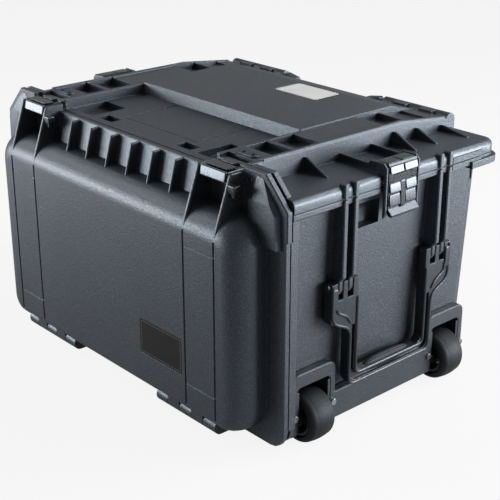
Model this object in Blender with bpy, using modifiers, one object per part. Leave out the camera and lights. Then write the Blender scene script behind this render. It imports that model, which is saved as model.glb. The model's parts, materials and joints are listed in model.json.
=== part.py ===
"""Wheeled hard equipment case, modelled as the separate pieces that it is assembled from.

X runs along the long side with the wheels at +X, the front cover is at -Y, the lid hinge at +Y and
Z is up from the floor. All sizes are in metres.
"""

import math

import bmesh
import bpy
from mathutils import Matrix, Vector

OBJECT = "hard_equipment_case"

# Gaps
SEAM = 0.0006  # between the faces of two shells that close on each other
FIT = 0.0003  # round a seated or turning piece
KNUCKLE_GAP = 0.0004  # between neighbouring hinge knuckles
STEP = 0.0005  # sets one face off from another that would share its plane
BITE = 0.002  # how far a fused piece reaches into what it joins
EDGE = 0.0013  # rounding of thick moulded edges
THIN_EDGE = 0.0008  # rounding of thin moulded edges
MERGE = 0.00001  # points closer than this are one
CORNER_STEPS = 4  # straight pieces in a rounded corner
PILLOW_STEPS = 8  # straight pieces round the edge of the cover's bulging front

# Overall sizes
RIM_LENGTH = 0.625  # long side over the rims
RIM_BACK = 0.2195  # back edge of the rims
COVER_PLANE = -0.169  # upright joint between the front cover and the body
COVER_DEPTH = 0.0566  # from that joint to the front of the cover
LID_PLANE = 0.333  # level joint between the lid and the body
HALF = RIM_LENGTH / 2

# Body
WALL = 0.0045
BODY_BOTTOM = 0.0155
BOTTOM_ROUND = 0.007
FLOOR = 0.006
RIM_HEIGHT = 0.0085
RIM_OVERHANG = 0.0145
BACK_OVERHANG = 0.013
RIM_CORNER = 0.018
BODY_CORNER = 0.025
END_DRAFT = 0.012
BACK_DRAFT = 0.005
FRAME_DEPTH = 0.011
FRAME_INSET = 0.0035
FRAME_BAND = 0.0315
SILL_TOP = 0.050
SILL_RELIEF_TOP = 0.0385
SILL_RELIEF = 0.0045
SKID_WIDTH = 0.024
SKID_INSET = 0.050
SKID_START = 0.028
SKID_END = 0.085

# Lid
LID_RIM = 0.009
RIM_STEPS = 3  # straight pieces in the rounding of the lid's edge
LID_SETBACK = 0.0014  # the lid's front edge stands behind the front joint
SHELF_RISE = 0.017
LID_SKIN = 0.0045
SHELF_WIDTH = 0.0765
RAIL_WIDTH = 0.066
RAIL_RISE = 0.044
RAIL_WALL = 0.006
POCKET_DEPTH = 0.011
POCKETS = ((-0.123, -0.088), (-0.082, -0.040), (0.080, 0.124), (0.130, 0.172))
PANEL_RISE = 0.029
PLATFORM_RISE = 0.046
PLATFORM_FRONT = -0.023
PLATFORM_BACK = 0.2035
RAIL_FALL = (0.105, 0.0115)  # where the rails start to fall towards the back, and by how much
PLATFORM_FALL = (0.1525, 0.0135)  # the same for the platform
BEAD_WIDTH = 0.008
BEAD_RISE = 0.0022
PANEL_HALF = 0.0805
PANEL_FRONT = -0.127
LINE_WIDTH = 0.0026
LINE_DEPTH = 0.0015
SOCKET_AT = (0.0875, -0.1455)
SOCKET_SIZE = (0.032, 0.020)
SOCKET_DEPTH = 0.008
SIDE_RECESS = (0.117, -0.156, -0.0965)  # inner side, front and back of the recess beside each rail
SIDE_RECESS_DEPTH = 0.010
GUSSETS = ((-0.077, 0.041), (0.090, 0.041), (0.1355, 0.038), (0.190, 0.048))  # place and reach
GUSSET_RISE = 0.018
GUSSET_THICK = 0.004
GUSSET_CAP = 0.005
STUB_RISE = 0.011

# Seals
SEAL_WIDTH = 0.0024
SEAL_HEIGHT = 0.0028
SEAL_INSET = 0.0017
SEAL_START = 0.004  # the ends of the lid seal, behind the front joint
COVER_SEAL_LOW = 0.0075
COVER_SEAL_HIGH = 0.011
COVER_SEAL_CORNER = 0.014
GROOVE_DEPTH = 0.003

# Hinges
HINGE_SEGMENTS = 5
LID_HINGE = (RIM_BACK - 0.0034, LID_PLANE + 0.0265)
LID_KNUCKLE = 0.0095
LID_HINGE_SPAN = (0.108, 0.2315)
HINGE_LUG = (0.077, 0.104)  # the lug beside the hinge
COVER_HINGE = (COVER_PLANE - COVER_DEPTH + 0.016, 0.0245)
COVER_KNUCKLE = 0.011
COVER_HINGE_SPAN = (0.100, 0.225)
HINGE_PIN = 0.0035
HINGE_ROOM = 0.0015
NOTCH_ROOM = 0.0025

# Front cover
FLANGE = 0.009
FLANGE_BOTTOM = 0.011
FLANGE_CORNER = 0.025
COVER_TOP = LID_PLANE + 0.029
EAR_TOP = LID_PLANE + 0.0435
EAR_CHAMFER = (0.038, 0.0395)
EAR_FOOT = LID_PLANE - 0.0345
EAR_WIDER = 0.0025
PADLOCK_HOLE = 0.0042
PADLOCK_AT = (0.067, 0.014)
PILLOW_INSET = 0.0365
PILLOW_BOTTOM = 0.023
PILLOW_DROP = 0.012
PILLOW_CORNER = 0.040
PILLOW_ROUND = 0.035
PILLOW_SIDE_ROUND = 0.030
PILLOW_FOOT_ROUND = 0.020
COVER_WALL = 0.0055
CAVITY_INSET = 0.016
RIB_COUNT = 6
RIB_THICK = 0.004
RIB_TOP_DEPTH = 0.0224
RIB_FOOT_DEPTH = 0.0346
RIB_DROP = 0.016
RIB_TAIL = 0.010
STRAP_THICK = 0.005
STRAP_RISE = 0.038
STRAP_TOP_DEPTH = 0.0297
STRAP_FOOT = 0.0365
STRAP_CORNER = 0.004
STRAP_ROUND = 0.060
STRAP_TAIL = 0.030
GROOVE_WIDTH = 0.0035
FACE_GROOVE = 0.0015
GROOVE_START = 84  # degrees round the shoulder at which the long grooves start
CROSS_GROOVES = (0.074, 0.269)
PLATE_BOX = (0.0745, 0.165, 0.082, 0.1345)
PLATE_RECESS = 0.0012
PLATE_THICK = 0.0009
PLATE_CORNER = 0.004

# Front latches
LATCH_SIDE_GAP = 0.002
LATCH_FRONT = 0.0295
LATCH_PLATE = 0.0042
LATCH_TOP = LID_PLANE + 0.0382
LATCH_LIP = 0.0142
LATCH_BOSS = 0.0042
LATCH_PIN = 0.0018
LATCH_CHAMFER = 0.0015
LATCH_PIN_AT = (COVER_PLANE + 0.0055, LID_PLANE + 0.036)
LATCH_BAY_BACK = 0.017
LATCH_NOTCH = LID_PLANE + 0.020
KEEPER_AT = 0.026
KEEPER_SIZE = (0.036, 0.014)
KEEPER_THICK = 0.0016
KEEPER_HOLE = 0.0028

# Ends: handle, latch and wheels share one middle line
END_SHIFT = -0.0085
END_MIDDLE = (COVER_PLANE + RIM_BACK) / 2 + END_SHIFT

# Wheels
WHEEL_RADIUS = 0.0358
WHEEL_WIDTH = 0.0445
WHEEL_INSET = 0.0235
WHEEL_FRONT = COVER_PLANE + 0.0525
WHEEL_BACK = RIM_BACK - 0.073
TYRE_DEPTH = 0.0112
TYRE_SHOULDER = 0.009
TYRE_BEAD = 0.001
HUB_BOSS = 0.0105
HUB_WEB = 0.008
HUB_RIM = 0.004
HUB_SET = 0.003
HUB_WINDOWS = 6
HUB_WINDOW = 0.0037
AXLE = 0.004
WHEEL_STEPS = 30

# Wheel wells and carrier
WELL_HALF = 0.0325
WELL_TOP = 0.089
WELL_REACH = 0.0095
WELL_WALL = 0.0035
CARRIER_FACE = 0.011
CARRIER_THICK = 0.0115
ARCH_HALF = 0.0395
ARCH_TOP = 0.107
ARCH_CORNER = 0.012
OPENING_HALF = 0.0295
OPENING_TOP = 0.087
OPENING_CORNER = 0.006
SKIRT_BOTTOM = 0.019
SKIRT_TOP = 0.060
CHEEK_INNER = 0.0262
CHEEK_OUTER = 0.0305
CHEEK_BACK = 0.019
SCREW_HEAD = 0.0045
SCREW_HEAD_HEIGHT = 0.0026
SCREW_SHANK = 0.0022
SCREW_DEPTH = 0.009
SCREW_LEVEL = 0.046

# Handles
HANDLE_FRONT = 0.0015
HANDLE_DEPTH = 0.015
HANDLE_EDGE = 0.0022
PIVOT_DROP = 0.117
ARM_WIDTH = 0.016
ARM_CLEARANCE = 0.01025
YOKE_REACH = 0.034
BAR_GAP = 0.006
BAR_HEIGHT = 0.017
YOKE_STEP = (0.066, 0.050)
PRONG_RISE = 0.005
SLOT_DROP = 0.019
SLOT_SIDE = 0.0012
HANDLE_CHANNEL = 0.006
CHANNEL_DEPTH = 0.005
HANDLE_CORNER = 0.016
HANDLE_PIN = 0.003
HANDLE_PIN_HEAD = 0.0052
HANDLE_PIN_HEAD_THICK = 0.0024
HANDLE_RIB = 0.0075
HANDLE_RIB_PROUD = 0.004
HANDLE_RIB_FOOT = 0.0125
RIB_OFFSETS = (0.015, 0.0335)  # the two ribs of a yoke, from its inner face

# End latches
LATCH_HALF = 0.027
BRACKET_GAP = 0.0015
BRACKET_THICK = 0.0035
BRACKET_PROUD = 0.0065
BRACKET_ARM = 0.0265
BRACKET_RISE = 0.031
BRACKET_DROP = 0.042
BRACKET_CHAMFER = 0.006
RIM_CLEARANCE = 0.0012
LINK_PIVOT = (HALF - 0.0125, LID_PLANE + 0.024)
LINK_FACE = 0.0061
LINK_THICK = 0.0052
LINK_TOP = LID_PLANE + 0.0295
LINK_ROOF = 0.004
LINK_BOSS = 0.0045
LINK_CHAMFER = 0.002
LINK_FOOT = LID_PLANE + 0.015
PRONG_FOOT = LID_PLANE + 0.0055
PRONG_HALF = 0.0172
LEVER_PIVOT = LID_PLANE + 0.0095
LEVER_TOP = LID_PLANE + 0.014
LEVER_SHOULDER = LID_PLANE + 0.0045
LEVER_FOOT = LID_PLANE - 0.0395
LEVER_LIP = 0.0069
LEVER_SWEEP = 0.010
LEVER_TOE = 0.003
END_PIN = 0.002
LEVER_PIN = 0.0013
LATCH_BAY = 0.0085
POCKET_INNER = 0.0185
POCKET_OUTER = 0.061
POCKET_BOTTOM = 0.0545
POCKET_TOP = 0.0205
POCKET_REACH = 0.016
POCKET_WALL = 0.0035
WALL_SLOT = (0.1805, 0.1885, 0.2935, 0.3140)
WALL_SLOT_DEPTH = 0.003
LIP_PROUD = 0.006
LIP_HEIGHT = 0.010
LIP_START = 0.060
RIM_BAND = (0.1045, 0.1665)  # the thicker stretch of the end rims, behind the middle line
RIM_BAND_PROUD = 0.0025

# Lid label
LABEL_BOX = (-0.007, 0.0775, 0.0975, 0.1490)
LABEL_MARGIN = 0.0024
LABEL_CORNER = 0.003
LABEL_THICK = 0.0006
LABEL_RECESS = 0.0012

# Levels and places worked out from the sizes above
BODY_TOP = LID_PLANE - SEAM / 2
LID_BOTTOM = LID_PLANE + SEAM / 2
RIM_BOTTOM = BODY_TOP - RIM_HEIGHT
BODY_FRONT = COVER_PLANE + SEAM / 2
LID_FRONT = COVER_PLANE + LID_SETBACK
COVER_BACK = COVER_PLANE - SEAM / 2
COVER_FRONT = COVER_PLANE - COVER_DEPTH
SHELF = LID_PLANE + SHELF_RISE
PANEL = LID_PLANE + PANEL_RISE
PLATFORM = LID_PLANE + PLATFORM_RISE
RAIL_TOP = LID_PLANE + RAIL_RISE
RAIL_OUTER = HALF - SHELF_WIDTH
RAIL_INNER = RAIL_OUTER - RAIL_WIDTH
STRAP_OUTER = RAIL_OUTER - RAIL_WALL + 0.002
STRAP_INNER = RAIL_INNER + 0.0023
RIB_PITCH = 2 * STRAP_INNER / (RIB_COUNT + 1.35)
FLANGE_HALF = HALF - FRAME_INSET
EAR_HALF = FLANGE_HALF + EAR_WIDER
PILLOW_HALF = HALF - PILLOW_INSET
PILLOW_TOP = LID_PLANE - PILLOW_DROP
LATCH_INNER = STRAP_INNER + STRAP_THICK / 2 + LATCH_SIDE_GAP
LATCH_OUTER = STRAP_OUTER - STRAP_THICK / 2 - LATCH_SIDE_GAP
WHEEL_X = HALF - WHEEL_INSET
CARRIER_X = HALF - CARRIER_FACE
PIVOT = (HALF - HANDLE_FRONT - HANDLE_DEPTH / 2, LID_PLANE - PIVOT_DROP)
ARM_OUTER = (WHEEL_BACK - WHEEL_FRONT) / 2 - ARCH_HALF - ARM_CLEARANCE
ARM_INNER = ARM_OUTER - ARM_WIDTH
YOKE_OUTER = ARM_OUTER + YOKE_REACH
BAR_BOTTOM = SKIRT_TOP + BAR_GAP
LINK_OUTER = HALF + LINK_FACE
LINK_INNER = LINK_OUTER - LINK_THICK


# Small tools


def collection(name):
    """A collection of this name in the scene."""
    made = bpy.data.collections.new(name)
    bpy.context.scene.collection.children.link(made)
    return made


def finish(name, colour, roughness, metallic=0.0):
    """A plain surface: colour, roughness and metal."""
    made = bpy.data.materials.new(name)
    made.use_nodes = True
    shader = made.node_tree.nodes["Principled BSDF"]
    shader.inputs["Base Color"].default_value = (*colour, 1.0)
    shader.inputs["Roughness"].default_value = roughness
    shader.inputs["Metallic"].default_value = metallic
    return made


def solid(name, bm):
    """A mesh object, with its faces turned outwards, among the cutters until it is kept as a part."""
    bmesh.ops.recalc_face_normals(bm, faces=bm.faces)
    mesh = bpy.data.meshes.new(name)
    bm.to_mesh(mesh)
    bm.free()
    made = bpy.data.objects.new(name, mesh)
    CUTTERS.objects.link(made)
    made.display_type = "WIRE"
    made.hide_render = True
    return made


def keep(made, surface, parent=None, smooth=False):
    """Moves a finished piece to the parts, with its surface and the empty that carries it."""
    CUTTERS.objects.unlink(made)
    PARTS.objects.link(made)
    made.display_type = "TEXTURED"
    made.hide_render = False
    made.data.materials.clear()
    made.data.materials.append(surface)
    if smooth:
        made.data.shade_smooth()
        made.data.set_sharp_from_angle(angle=math.radians(40))
    if parent is not None:
        made.parent = parent
        made.matrix_parent_inverse = Matrix.Translation(-parent.location)
    return made


def axis_empty(name, place):
    """An empty on a joint's axis, for the pieces that turn about it."""
    made = bpy.data.objects.new(name, None)
    made.location = place
    made.empty_display_size = WALL
    PARTS.objects.link(made)
    return made


def box(name, x, y, z):
    """A block between two values of x, of y and of z."""
    low = Vector((min(x), min(y), min(z)))
    high = Vector((max(x), max(y), max(z)))
    bm = bmesh.new()
    bmesh.ops.create_cube(bm, size=1.0)
    bmesh.ops.scale(bm, vec=high - low, verts=bm.verts)
    bmesh.ops.translate(bm, vec=(low + high) / 2, verts=bm.verts)
    return solid(name, bm)


# Where an outline's two directions and its thickness lie, by the axis it is drawn out along
AXIS_FRAME = {
    "X": Matrix(((0, 0, 1, 0), (1, 0, 0, 0), (0, 1, 0, 0), (0, 0, 0, 1))),
    "Y": Matrix(((1, 0, 0, 0), (0, 0, 1, 0), (0, 1, 0, 0), (0, 0, 0, 1))),
    "Z": Matrix.Identity(4),
}


def outline(name, axis, ends, *loops):
    """A flat outline, with any holes as further loops, drawn out along an axis between two ends.

    The outline's points are (y, z) along X, (x, z) along Y and (x, y) along Z.
    """
    low, high = min(ends), max(ends)
    curve = bpy.data.curves.new(name, "CURVE")
    curve.dimensions = "2D"
    curve.fill_mode = "BOTH"
    curve.extrude = (high - low) / 2
    for loop in loops:
        spline = curve.splines.new("POLY")
        spline.points.add(len(loop) - 1)
        for point, (u, v) in zip(spline.points, loop):
            point.co = (u, v, 0.0, 1.0)
        spline.use_cyclic_u = True
    flat = bpy.data.objects.new(name, curve)
    CUTTERS.objects.link(flat)
    graph = bpy.context.evaluated_depsgraph_get()
    mesh = bpy.data.meshes.new_from_object(flat.evaluated_get(graph))
    bm = bmesh.new()
    bm.from_mesh(mesh)
    bpy.data.objects.remove(flat)
    bpy.data.curves.remove(curve)
    bpy.data.meshes.remove(mesh)
    bmesh.ops.remove_doubles(bm, verts=bm.verts, dist=MERGE)
    bmesh.ops.translate(bm, vec=(0, 0, (low + high) / 2), verts=bm.verts)
    bmesh.ops.transform(bm, matrix=AXIS_FRAME[axis], verts=bm.verts)
    return solid(name, bm)


def rounded(corners, steps=CORNER_STEPS):
    """An outline from corners (u, v) or (u, v, radius), with an arc at each corner that has a radius."""
    points = []
    count = len(corners)
    for i, corner in enumerate(corners):
        here = Vector(corner[:2])
        if len(corner) < 3:
            points.append(tuple(here))
            continue
        before = (Vector(corners[i - 1][:2]) - here).normalized()
        after = (Vector(corners[(i + 1) % count][:2]) - here).normalized()
        half_angle = before.angle(after) / 2
        reach = corner[2] / math.tan(half_angle)
        centre = here + (before + after).normalized() * corner[2] / math.sin(half_angle)
        first = here + before * reach - centre
        last = here + after * reach - centre
        sweep = first.angle_signed(last)
        for step in range(steps + 1):
            turn = Matrix.Rotation(-sweep * step / steps, 2)
            points.append(tuple(centre + turn @ first))
    return points


def mirrored(right):
    """A closed outline from its right half, given from the bottom to the top, by mirroring it in u = 0."""
    left = [(-corner[0], *corner[1:]) for corner in reversed(right)]
    return right + left


def rectangle(u, v, radius=None):
    """The corners of a rectangle between two values of u and of v, each with the same radius."""
    round_off = () if radius is None else (radius,)
    return [(a, b, *round_off) for a, b in ((u[0], v[0]), (u[1], v[0]), (u[1], v[1]), (u[0], v[1]))]


def arc(centre, radius, start, stop, steps=12):
    """Points on an arc between two angles in degrees."""
    angles = [math.radians(start + (stop - start) * i / steps) for i in range(steps + 1)]
    return [(centre[0] + radius * math.cos(a), centre[1] + radius * math.sin(a)) for a in angles]


def loft(name, rings):
    """A closed solid through rings that have the same number of points, capped at both ends."""
    bm = bmesh.new()
    loops = [[bm.verts.new(point) for point in ring] for ring in rings]
    for lower, upper in zip(loops, loops[1:]):
        for i in range(len(lower)):
            j = (i + 1) % len(lower)
            bm.faces.new((lower[i], lower[j], upper[j], upper[i]))
    bm.faces.new(list(reversed(loops[0])))
    bm.faces.new(loops[-1])
    return solid(name, bm)


def drawn_in(loop, distance):
    """An outline moved inwards by a distance, with its corners mitred."""
    count = len(loop)
    area = sum(loop[i - 1][0] * loop[i][1] - loop[i][0] * loop[i - 1][1] for i in range(count))
    inward = math.copysign(distance, area)
    moved = []
    for i in range(count):
        here = Vector(loop[i])
        before = (here - Vector(loop[i - 1])).normalized()
        after = (Vector(loop[(i + 1) % count]) - here).normalized()
        first = Vector((-before.y, before.x))
        second = Vector((-after.y, after.x))
        moved.append(tuple(here + (first + second) * inward / (1 + first.dot(second))))
    return moved


def plate(name, axis, ends, loop, edge, steps=1):
    """A flat outline drawn out along an axis, with its edges rounded off."""
    low, high = min(ends), max(ends)
    stations = []
    for step in range(steps + 1):
        turn = math.pi / 2 * step / steps
        stations.append((edge * (1 - math.sin(turn)), edge * (1 - math.cos(turn))))
    rings = []
    for inset, rise in stations:
        rings.append([(u, v, low + rise) for u, v in drawn_in(loop, inset)])
    for inset, rise in reversed(stations):
        rings.append([(u, v, high - rise) for u, v in drawn_in(loop, inset)])
    made = loft(name, [[AXIS_FRAME[axis] @ Vector(point) for point in ring] for ring in rings])
    return made


def rod(name, axis, places, radius, sides=12, head=None):
    """A round bar between two places, with an optional head (radius, thickness) past the second."""
    start, stop = Vector(places[0]), Vector(places[1])
    along = (stop - start).normalized()
    frame = {"X": ((0, 1, 0), (0, 0, 1)), "Y": ((0, 0, 1), (1, 0, 0)), "Z": ((1, 0, 0), (0, 1, 0))}[axis]
    stations = [(start, radius), (stop, radius)]
    if head:
        stations += [(stop, head[0]), (stop + along * head[1], head[0])]
    rings = []
    for place, size in stations:
        points = arc((0, 0), size, 0, 360 - 360 / sides, sides - 1)
        rings.append([place + Vector(frame[0]) * u + Vector(frame[1]) * v for u, v in points])
    return loft(name, rings)


def gather(name, pieces):
    """One object from several that stand apart, so that one Boolean takes them all."""
    bm = bmesh.new()
    for piece in pieces:
        bm.from_mesh(piece.data)
        bpy.data.objects.remove(piece)
    return solid(name, bm)


def combine(target, operation, *others):
    """Joins, cuts or crosses a piece with others, each as a Boolean modifier."""
    for other in others:
        modifier = target.modifiers.new(other.name, "BOOLEAN")
        modifier.operation = operation
        modifier.solver = "EXACT"
        modifier.object = other


def fuse(target, *others):
    """Joins further material to a piece."""
    combine(target, "UNION", *others)


def cut(target, *others):
    """Takes material away from a piece."""
    combine(target, "DIFFERENCE", *others)


def segments(span, count, picked):
    """The picked lengths of a hinge that is split evenly, as (start, end) along X."""
    length = (span[1] - span[0]) / count
    return [(span[0] + i * length + KNUCKLE_GAP, span[0] + (i + 1) * length - KNUCKLE_GAP) for i in picked]


def both_sides(pairs):
    """Lengths along X and their mirror images."""
    return [*pairs, *((-b, -a) for a, b in pairs)]


# Body


def wall_x(z):
    """Outer face of the end walls at a height: they lean in towards the floor."""
    rise = (z - BODY_BOTTOM) / (RIM_BOTTOM - BODY_BOTTOM)
    return HALF - RIM_OVERHANG - END_DRAFT * (1 - rise)


def wall_back(z):
    """Outer face of the back wall at a height."""
    rise = (z - BODY_BOTTOM) / (RIM_BOTTOM - BODY_BOTTOM)
    return RIM_BACK - BACK_OVERHANG - BACK_DRAFT * (1 - rise)


def tub_ring(z, front, inset):
    """The tub's outline at a height, with its two back corners rounded."""
    side = wall_x(z) - inset
    back = wall_back(z) - inset
    radius = BODY_CORNER - inset
    corners = [(-side, front), (side, front), (side, back, radius), (-side, back, radius)]
    return [(x, y, z) for x, y in rounded(corners)]


def rim_outline(inset=0.0, front=BODY_FRONT):
    """The rim's outline in plan, straight along the front."""
    side = HALF - inset
    radius = RIM_CORNER - inset
    back = RIM_BACK - inset
    return rounded([(-side, front), (side, front), (side, back, radius), (-side, back, radius)])


def seal_path(name, z, width, front):
    """The lid seal, or its groove, as a U along the two ends and the back."""
    outer = wall_x(RIM_BOTTOM) - WALL + SEAL_INSET + SEAL_WIDTH / 2 + width / 2
    back = wall_back(RIM_BOTTOM) - WALL + SEAL_INSET + SEAL_WIDTH / 2 + width / 2
    radius = BODY_CORNER - WALL + SEAL_INSET + SEAL_WIDTH / 2
    out_r, in_r = radius + width / 2, radius - width / 2
    corners = [(outer, front), (outer, back, out_r), (-outer, back, out_r), (-outer, front)]
    corners += [(-outer + width, front), (-outer + width, back - width, in_r)]
    corners += [(outer - width, back - width, in_r), (outer - width, front)]
    return outline(name, "Z", z, rounded(corners))


def handle_rib_places():
    """The middles along Y of the four ribs that carry one handle."""
    inner = [ARM_INNER + offset for offset in RIB_OFFSETS]
    return [END_MIDDLE + sign * u for sign in (1, -1) for u in inner]


def end_features(side):
    """What is moulded on one end wall: the handle ribs, and the back of the pocket beside the latch."""
    root = wall_x(PIVOT[1]) - WALL / 2
    proud = HALF + HANDLE_RIB_PROUD
    pivot_x, pivot_z = PIVOT
    profile = [
        (root, RIM_BOTTOM + FIT),
        (root, pivot_z - HANDLE_RIB_FOOT),
        (pivot_x + HANDLE_RIB_PROUD, pivot_z - HANDLE_RIB_FOOT),
        (pivot_x + HANDLE_DEPTH / 2, pivot_z - HANDLE_RIB_FOOT / 2),
        (pivot_x + HANDLE_DEPTH / 2, pivot_z + HANDLE_RIB_FOOT / 2),
        (proud, pivot_z + HANDLE_RIB_FOOT),
        (proud, BODY_TOP - 2 * STEP),
        (HALF - RIM_OVERHANG / 2, BODY_TOP - 2 * STEP),
        (HALF - RIM_OVERHANG / 2, RIM_BOTTOM + FIT),
    ]
    profile = [(side * x, z) for x, z in profile]
    half = HANDLE_RIB / 2
    ribs = []
    for y in handle_rib_places():
        ribs.append(plate("rib", "Y", (y - half, y + half), profile, EDGE))
    face = wall_x(LID_PLANE - POCKET_BOTTOM)
    y = [END_MIDDLE - POCKET_OUTER - POCKET_WALL, END_MIDDLE - POCKET_INNER + POCKET_WALL]
    x = [side * (face - POCKET_REACH - POCKET_WALL), side * (face - WALL / 2)]
    z = [LID_PLANE - POCKET_BOTTOM - POCKET_WALL, RIM_BOTTOM + RIM_HEIGHT / 2]
    return [gather(f"handle_ribs_{side}", ribs), box(f"pocket_back_{side}", x, y, z)]


def end_pockets():
    """The deep pocket beside each end latch and the shallow slot near each back corner."""
    pockets = []
    face = wall_x(LID_PLANE - POCKET_BOTTOM)
    front, back, low, high = WALL_SLOT
    for side in (1, -1):
        y = (END_MIDDLE - POCKET_OUTER, END_MIDDLE - POCKET_INNER)
        x = [side * (face - POCKET_REACH), side * (HALF - FIT)]
        pockets.append(box("pocket", x, y, (LID_PLANE - POCKET_BOTTOM, LID_PLANE - POCKET_TOP)))
        x = [side * (wall_x(low) - WALL_SLOT_DEPTH), side * (HALF - FIT)]
        pockets.append(box("slot", x, (front, back), (low, high)))
    return gather("end_pockets", pockets)


def corner_lips():
    """The lips that stand out under the rim at the two back corners."""
    level = (RIM_BOTTOM - LIP_HEIGHT / 2, RIM_BOTTOM + LIP_HEIGHT / 2)
    lips = plate("corner_lips", "Z", level, rim_outline(-LIP_PROUD), THIN_EDGE)
    start = RIM_BACK - LIP_START
    corners = []
    for side in (1, -1):
        x = [side * (HALF - LIP_START), side * (HALF + 2 * LIP_PROUD)]
        corners.append(box("corner", x, (start, RIM_BACK + 2 * LIP_PROUD), (0.0, LID_PLANE)))
    combine(lips, "INTERSECT", gather("lip_corners", corners))
    return lips


def rim_bands(name, low, high):
    """The thicker stretch of the rim at both ends, between two heights."""
    made = []
    for side in (1, -1):
        x = sorted((side * (HALF - RIM_BAND_PROUD), side * (HALF + RIM_BAND_PROUD)))
        y = [END_MIDDLE + u for u in RIM_BAND]
        made.append(plate("band", "Y", y, rectangle(x, (low + FIT, high - FIT)), THIN_EDGE))
    return gather(name, made)


def front_frame():
    """The flat frame round the front opening that the cover closes on."""
    inner = FLANGE_HALF - FRAME_BAND
    top = BODY_TOP - STEP
    corners = [
        (FLANGE_HALF, SILL_RELIEF_TOP),
        (FLANGE_HALF, EAR_FOOT),
        (EAR_HALF, EAR_FOOT),
        (EAR_HALF, top),
        (inner, top),
        (inner, SILL_TOP),
    ]
    frame = outline("front_frame", "Y", (BODY_FRONT, COVER_PLANE + FRAME_DEPTH), mirrored(corners))
    sill_y = (COVER_PLANE + SILL_RELIEF, COVER_PLANE + FRAME_DEPTH - FIT)
    side = FLANGE_HALF - 2 * STEP
    low = [(side, FLANGE_BOTTOM + 3 * STEP, FLANGE_CORNER), (side, SILL_TOP - WALL)]
    sill = outline("front_sill", "Y", sill_y, rounded(mirrored(low)))
    return frame, sill


def cover_ears():
    """The body's ears of the cover hinge, reaching forward under the cover."""
    y, z = COVER_HINGE
    root = COVER_PLANE + SILL_RELIEF + WALL
    front = arc((y, z), COVER_KNUCKLE, 270, 90)
    profile = [(root, z - COVER_KNUCKLE), *front, (root, z + COVER_KNUCKLE)]
    spans = both_sides(segments(COVER_HINGE_SPAN, HINGE_SEGMENTS, (0, 2, 4)))
    return gather("cover_ears", [outline("ear", "X", span, profile) for span in spans])


def lid_hinge_posts():
    """The body's knuckles of the lid hinge, standing on the back rim."""
    y, z = LID_HINGE
    root = RIM_BOTTOM + BITE
    profile = [(y + LID_KNUCKLE, root), *arc((y, z), LID_KNUCKLE, 0, 180), (y - LID_KNUCKLE, root)]
    spans = both_sides(segments(LID_HINGE_SPAN, HINGE_SEGMENTS, (0, 2, 4)))
    return gather("lid_hinge_posts", [outline("post", "X", span, profile) for span in spans])


def hinge_bores(name, span, place, radius):
    """The holes for the two pins of a hinge."""
    holes = []
    for a, b in both_sides([span]):
        holes.append(rod("bore", "X", ((a - BITE, *place), (b + BITE, *place)), radius))
    return gather(name, holes)


def skids():
    """The two runners under the floor that the case stands on at the end without wheels."""
    made = []
    x = (-wall_x(BODY_BOTTOM) + SKID_START, wall_x(BODY_BOTTOM) - SKID_END)
    slope = BODY_BOTTOM
    root = BODY_BOTTOM + BITE
    profile = [(x[0], root), (x[0] + slope, 0.0), (x[1] - slope, 0.0), (x[1], root)]
    for middle in (COVER_PLANE + SKID_INSET, RIM_BACK - SKID_INSET - BACK_OVERHANG):
        ends = (middle - SKID_WIDTH / 2, middle + SKID_WIDTH / 2)
        made.append(outline("skid", "Y", ends, profile))
    return gather("skids", made)


def wheel_wells():
    """The boxes that the wheels turn in: their walls and their hollows."""
    walls, hollows = [], []
    back = WHEEL_X - WHEEL_RADIUS - WELL_REACH
    for middle in (WHEEL_FRONT, WHEEL_BACK):
        half = WELL_HALF + WELL_WALL
        y = (middle - half, middle + half)
        z = (BODY_BOTTOM + FLOOR / 2, WELL_TOP + WELL_WALL)
        walls.append(box("well", (back - WELL_WALL, wall_x(BODY_BOTTOM) - WALL / 2), y, z))
        y = (middle - WELL_HALF, middle + WELL_HALF)
        hollows.append(box("hollow", (back, HALF + WALL), y, (-WALL, WELL_TOP)))
    return gather("well_walls", walls), gather("well_hollows", hollows)


def make_body():
    """The tub with everything that is moulded on it."""
    low = BODY_BOTTOM + BOTTOM_ROUND
    front = COVER_PLANE + FRAME_DEPTH / 2
    rings = [tub_ring(BODY_BOTTOM, front, BOTTOM_ROUND), tub_ring(low, front, 0.0)]
    body = loft("body_shell", [*rings, tub_ring(RIM_BOTTOM + RIM_HEIGHT / 2, front, 0.0)])
    fuse(body, plate("body_rim", "Z", (RIM_BOTTOM, BODY_TOP), rim_outline(), EDGE), corner_lips())
    fuse(body, rim_bands("body_bands", RIM_BOTTOM, BODY_TOP))
    open_front = COVER_PLANE - COVER_DEPTH
    levels = (BODY_BOTTOM + FLOOR, LID_PLANE + RIM_HEIGHT)
    cut(body, loft("tub_hollow", [tub_ring(z, open_front, WALL) for z in levels]))
    fuse(body, *front_frame(), skids(), cover_ears(), lid_hinge_posts())
    for side in (1, -1):
        fuse(body, *end_features(side))
    walls, hollows = wheel_wells()
    fuse(body, walls)
    cut(body, hollows, end_pockets())
    groove = (BODY_TOP - GROOVE_DEPTH, LID_PLANE + WALL)
    cut(body, seal_path("seal_groove", groove, SEAL_WIDTH + 2 * FIT, COVER_PLANE + SEAL_START))
    pivots = []
    for side in (1, -1):
        for y in handle_rib_places():
            ends = [(side * PIVOT[0], y + half, PIVOT[1]) for half in (-HANDLE_RIB, HANDLE_RIB)]
            pivots.append(rod("pivot", "Y", ends, HANDLE_PIN + FIT))
    cut(body, gather("handle_pivots", pivots))
    cut(body, hinge_bores("cover_bores", COVER_HINGE_SPAN, COVER_HINGE, HINGE_PIN + FIT))
    cut(body, hinge_bores("lid_bores", LID_HINGE_SPAN, LID_HINGE, HINGE_PIN + FIT))
    keep(body, SHELL)


# Lid


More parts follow.
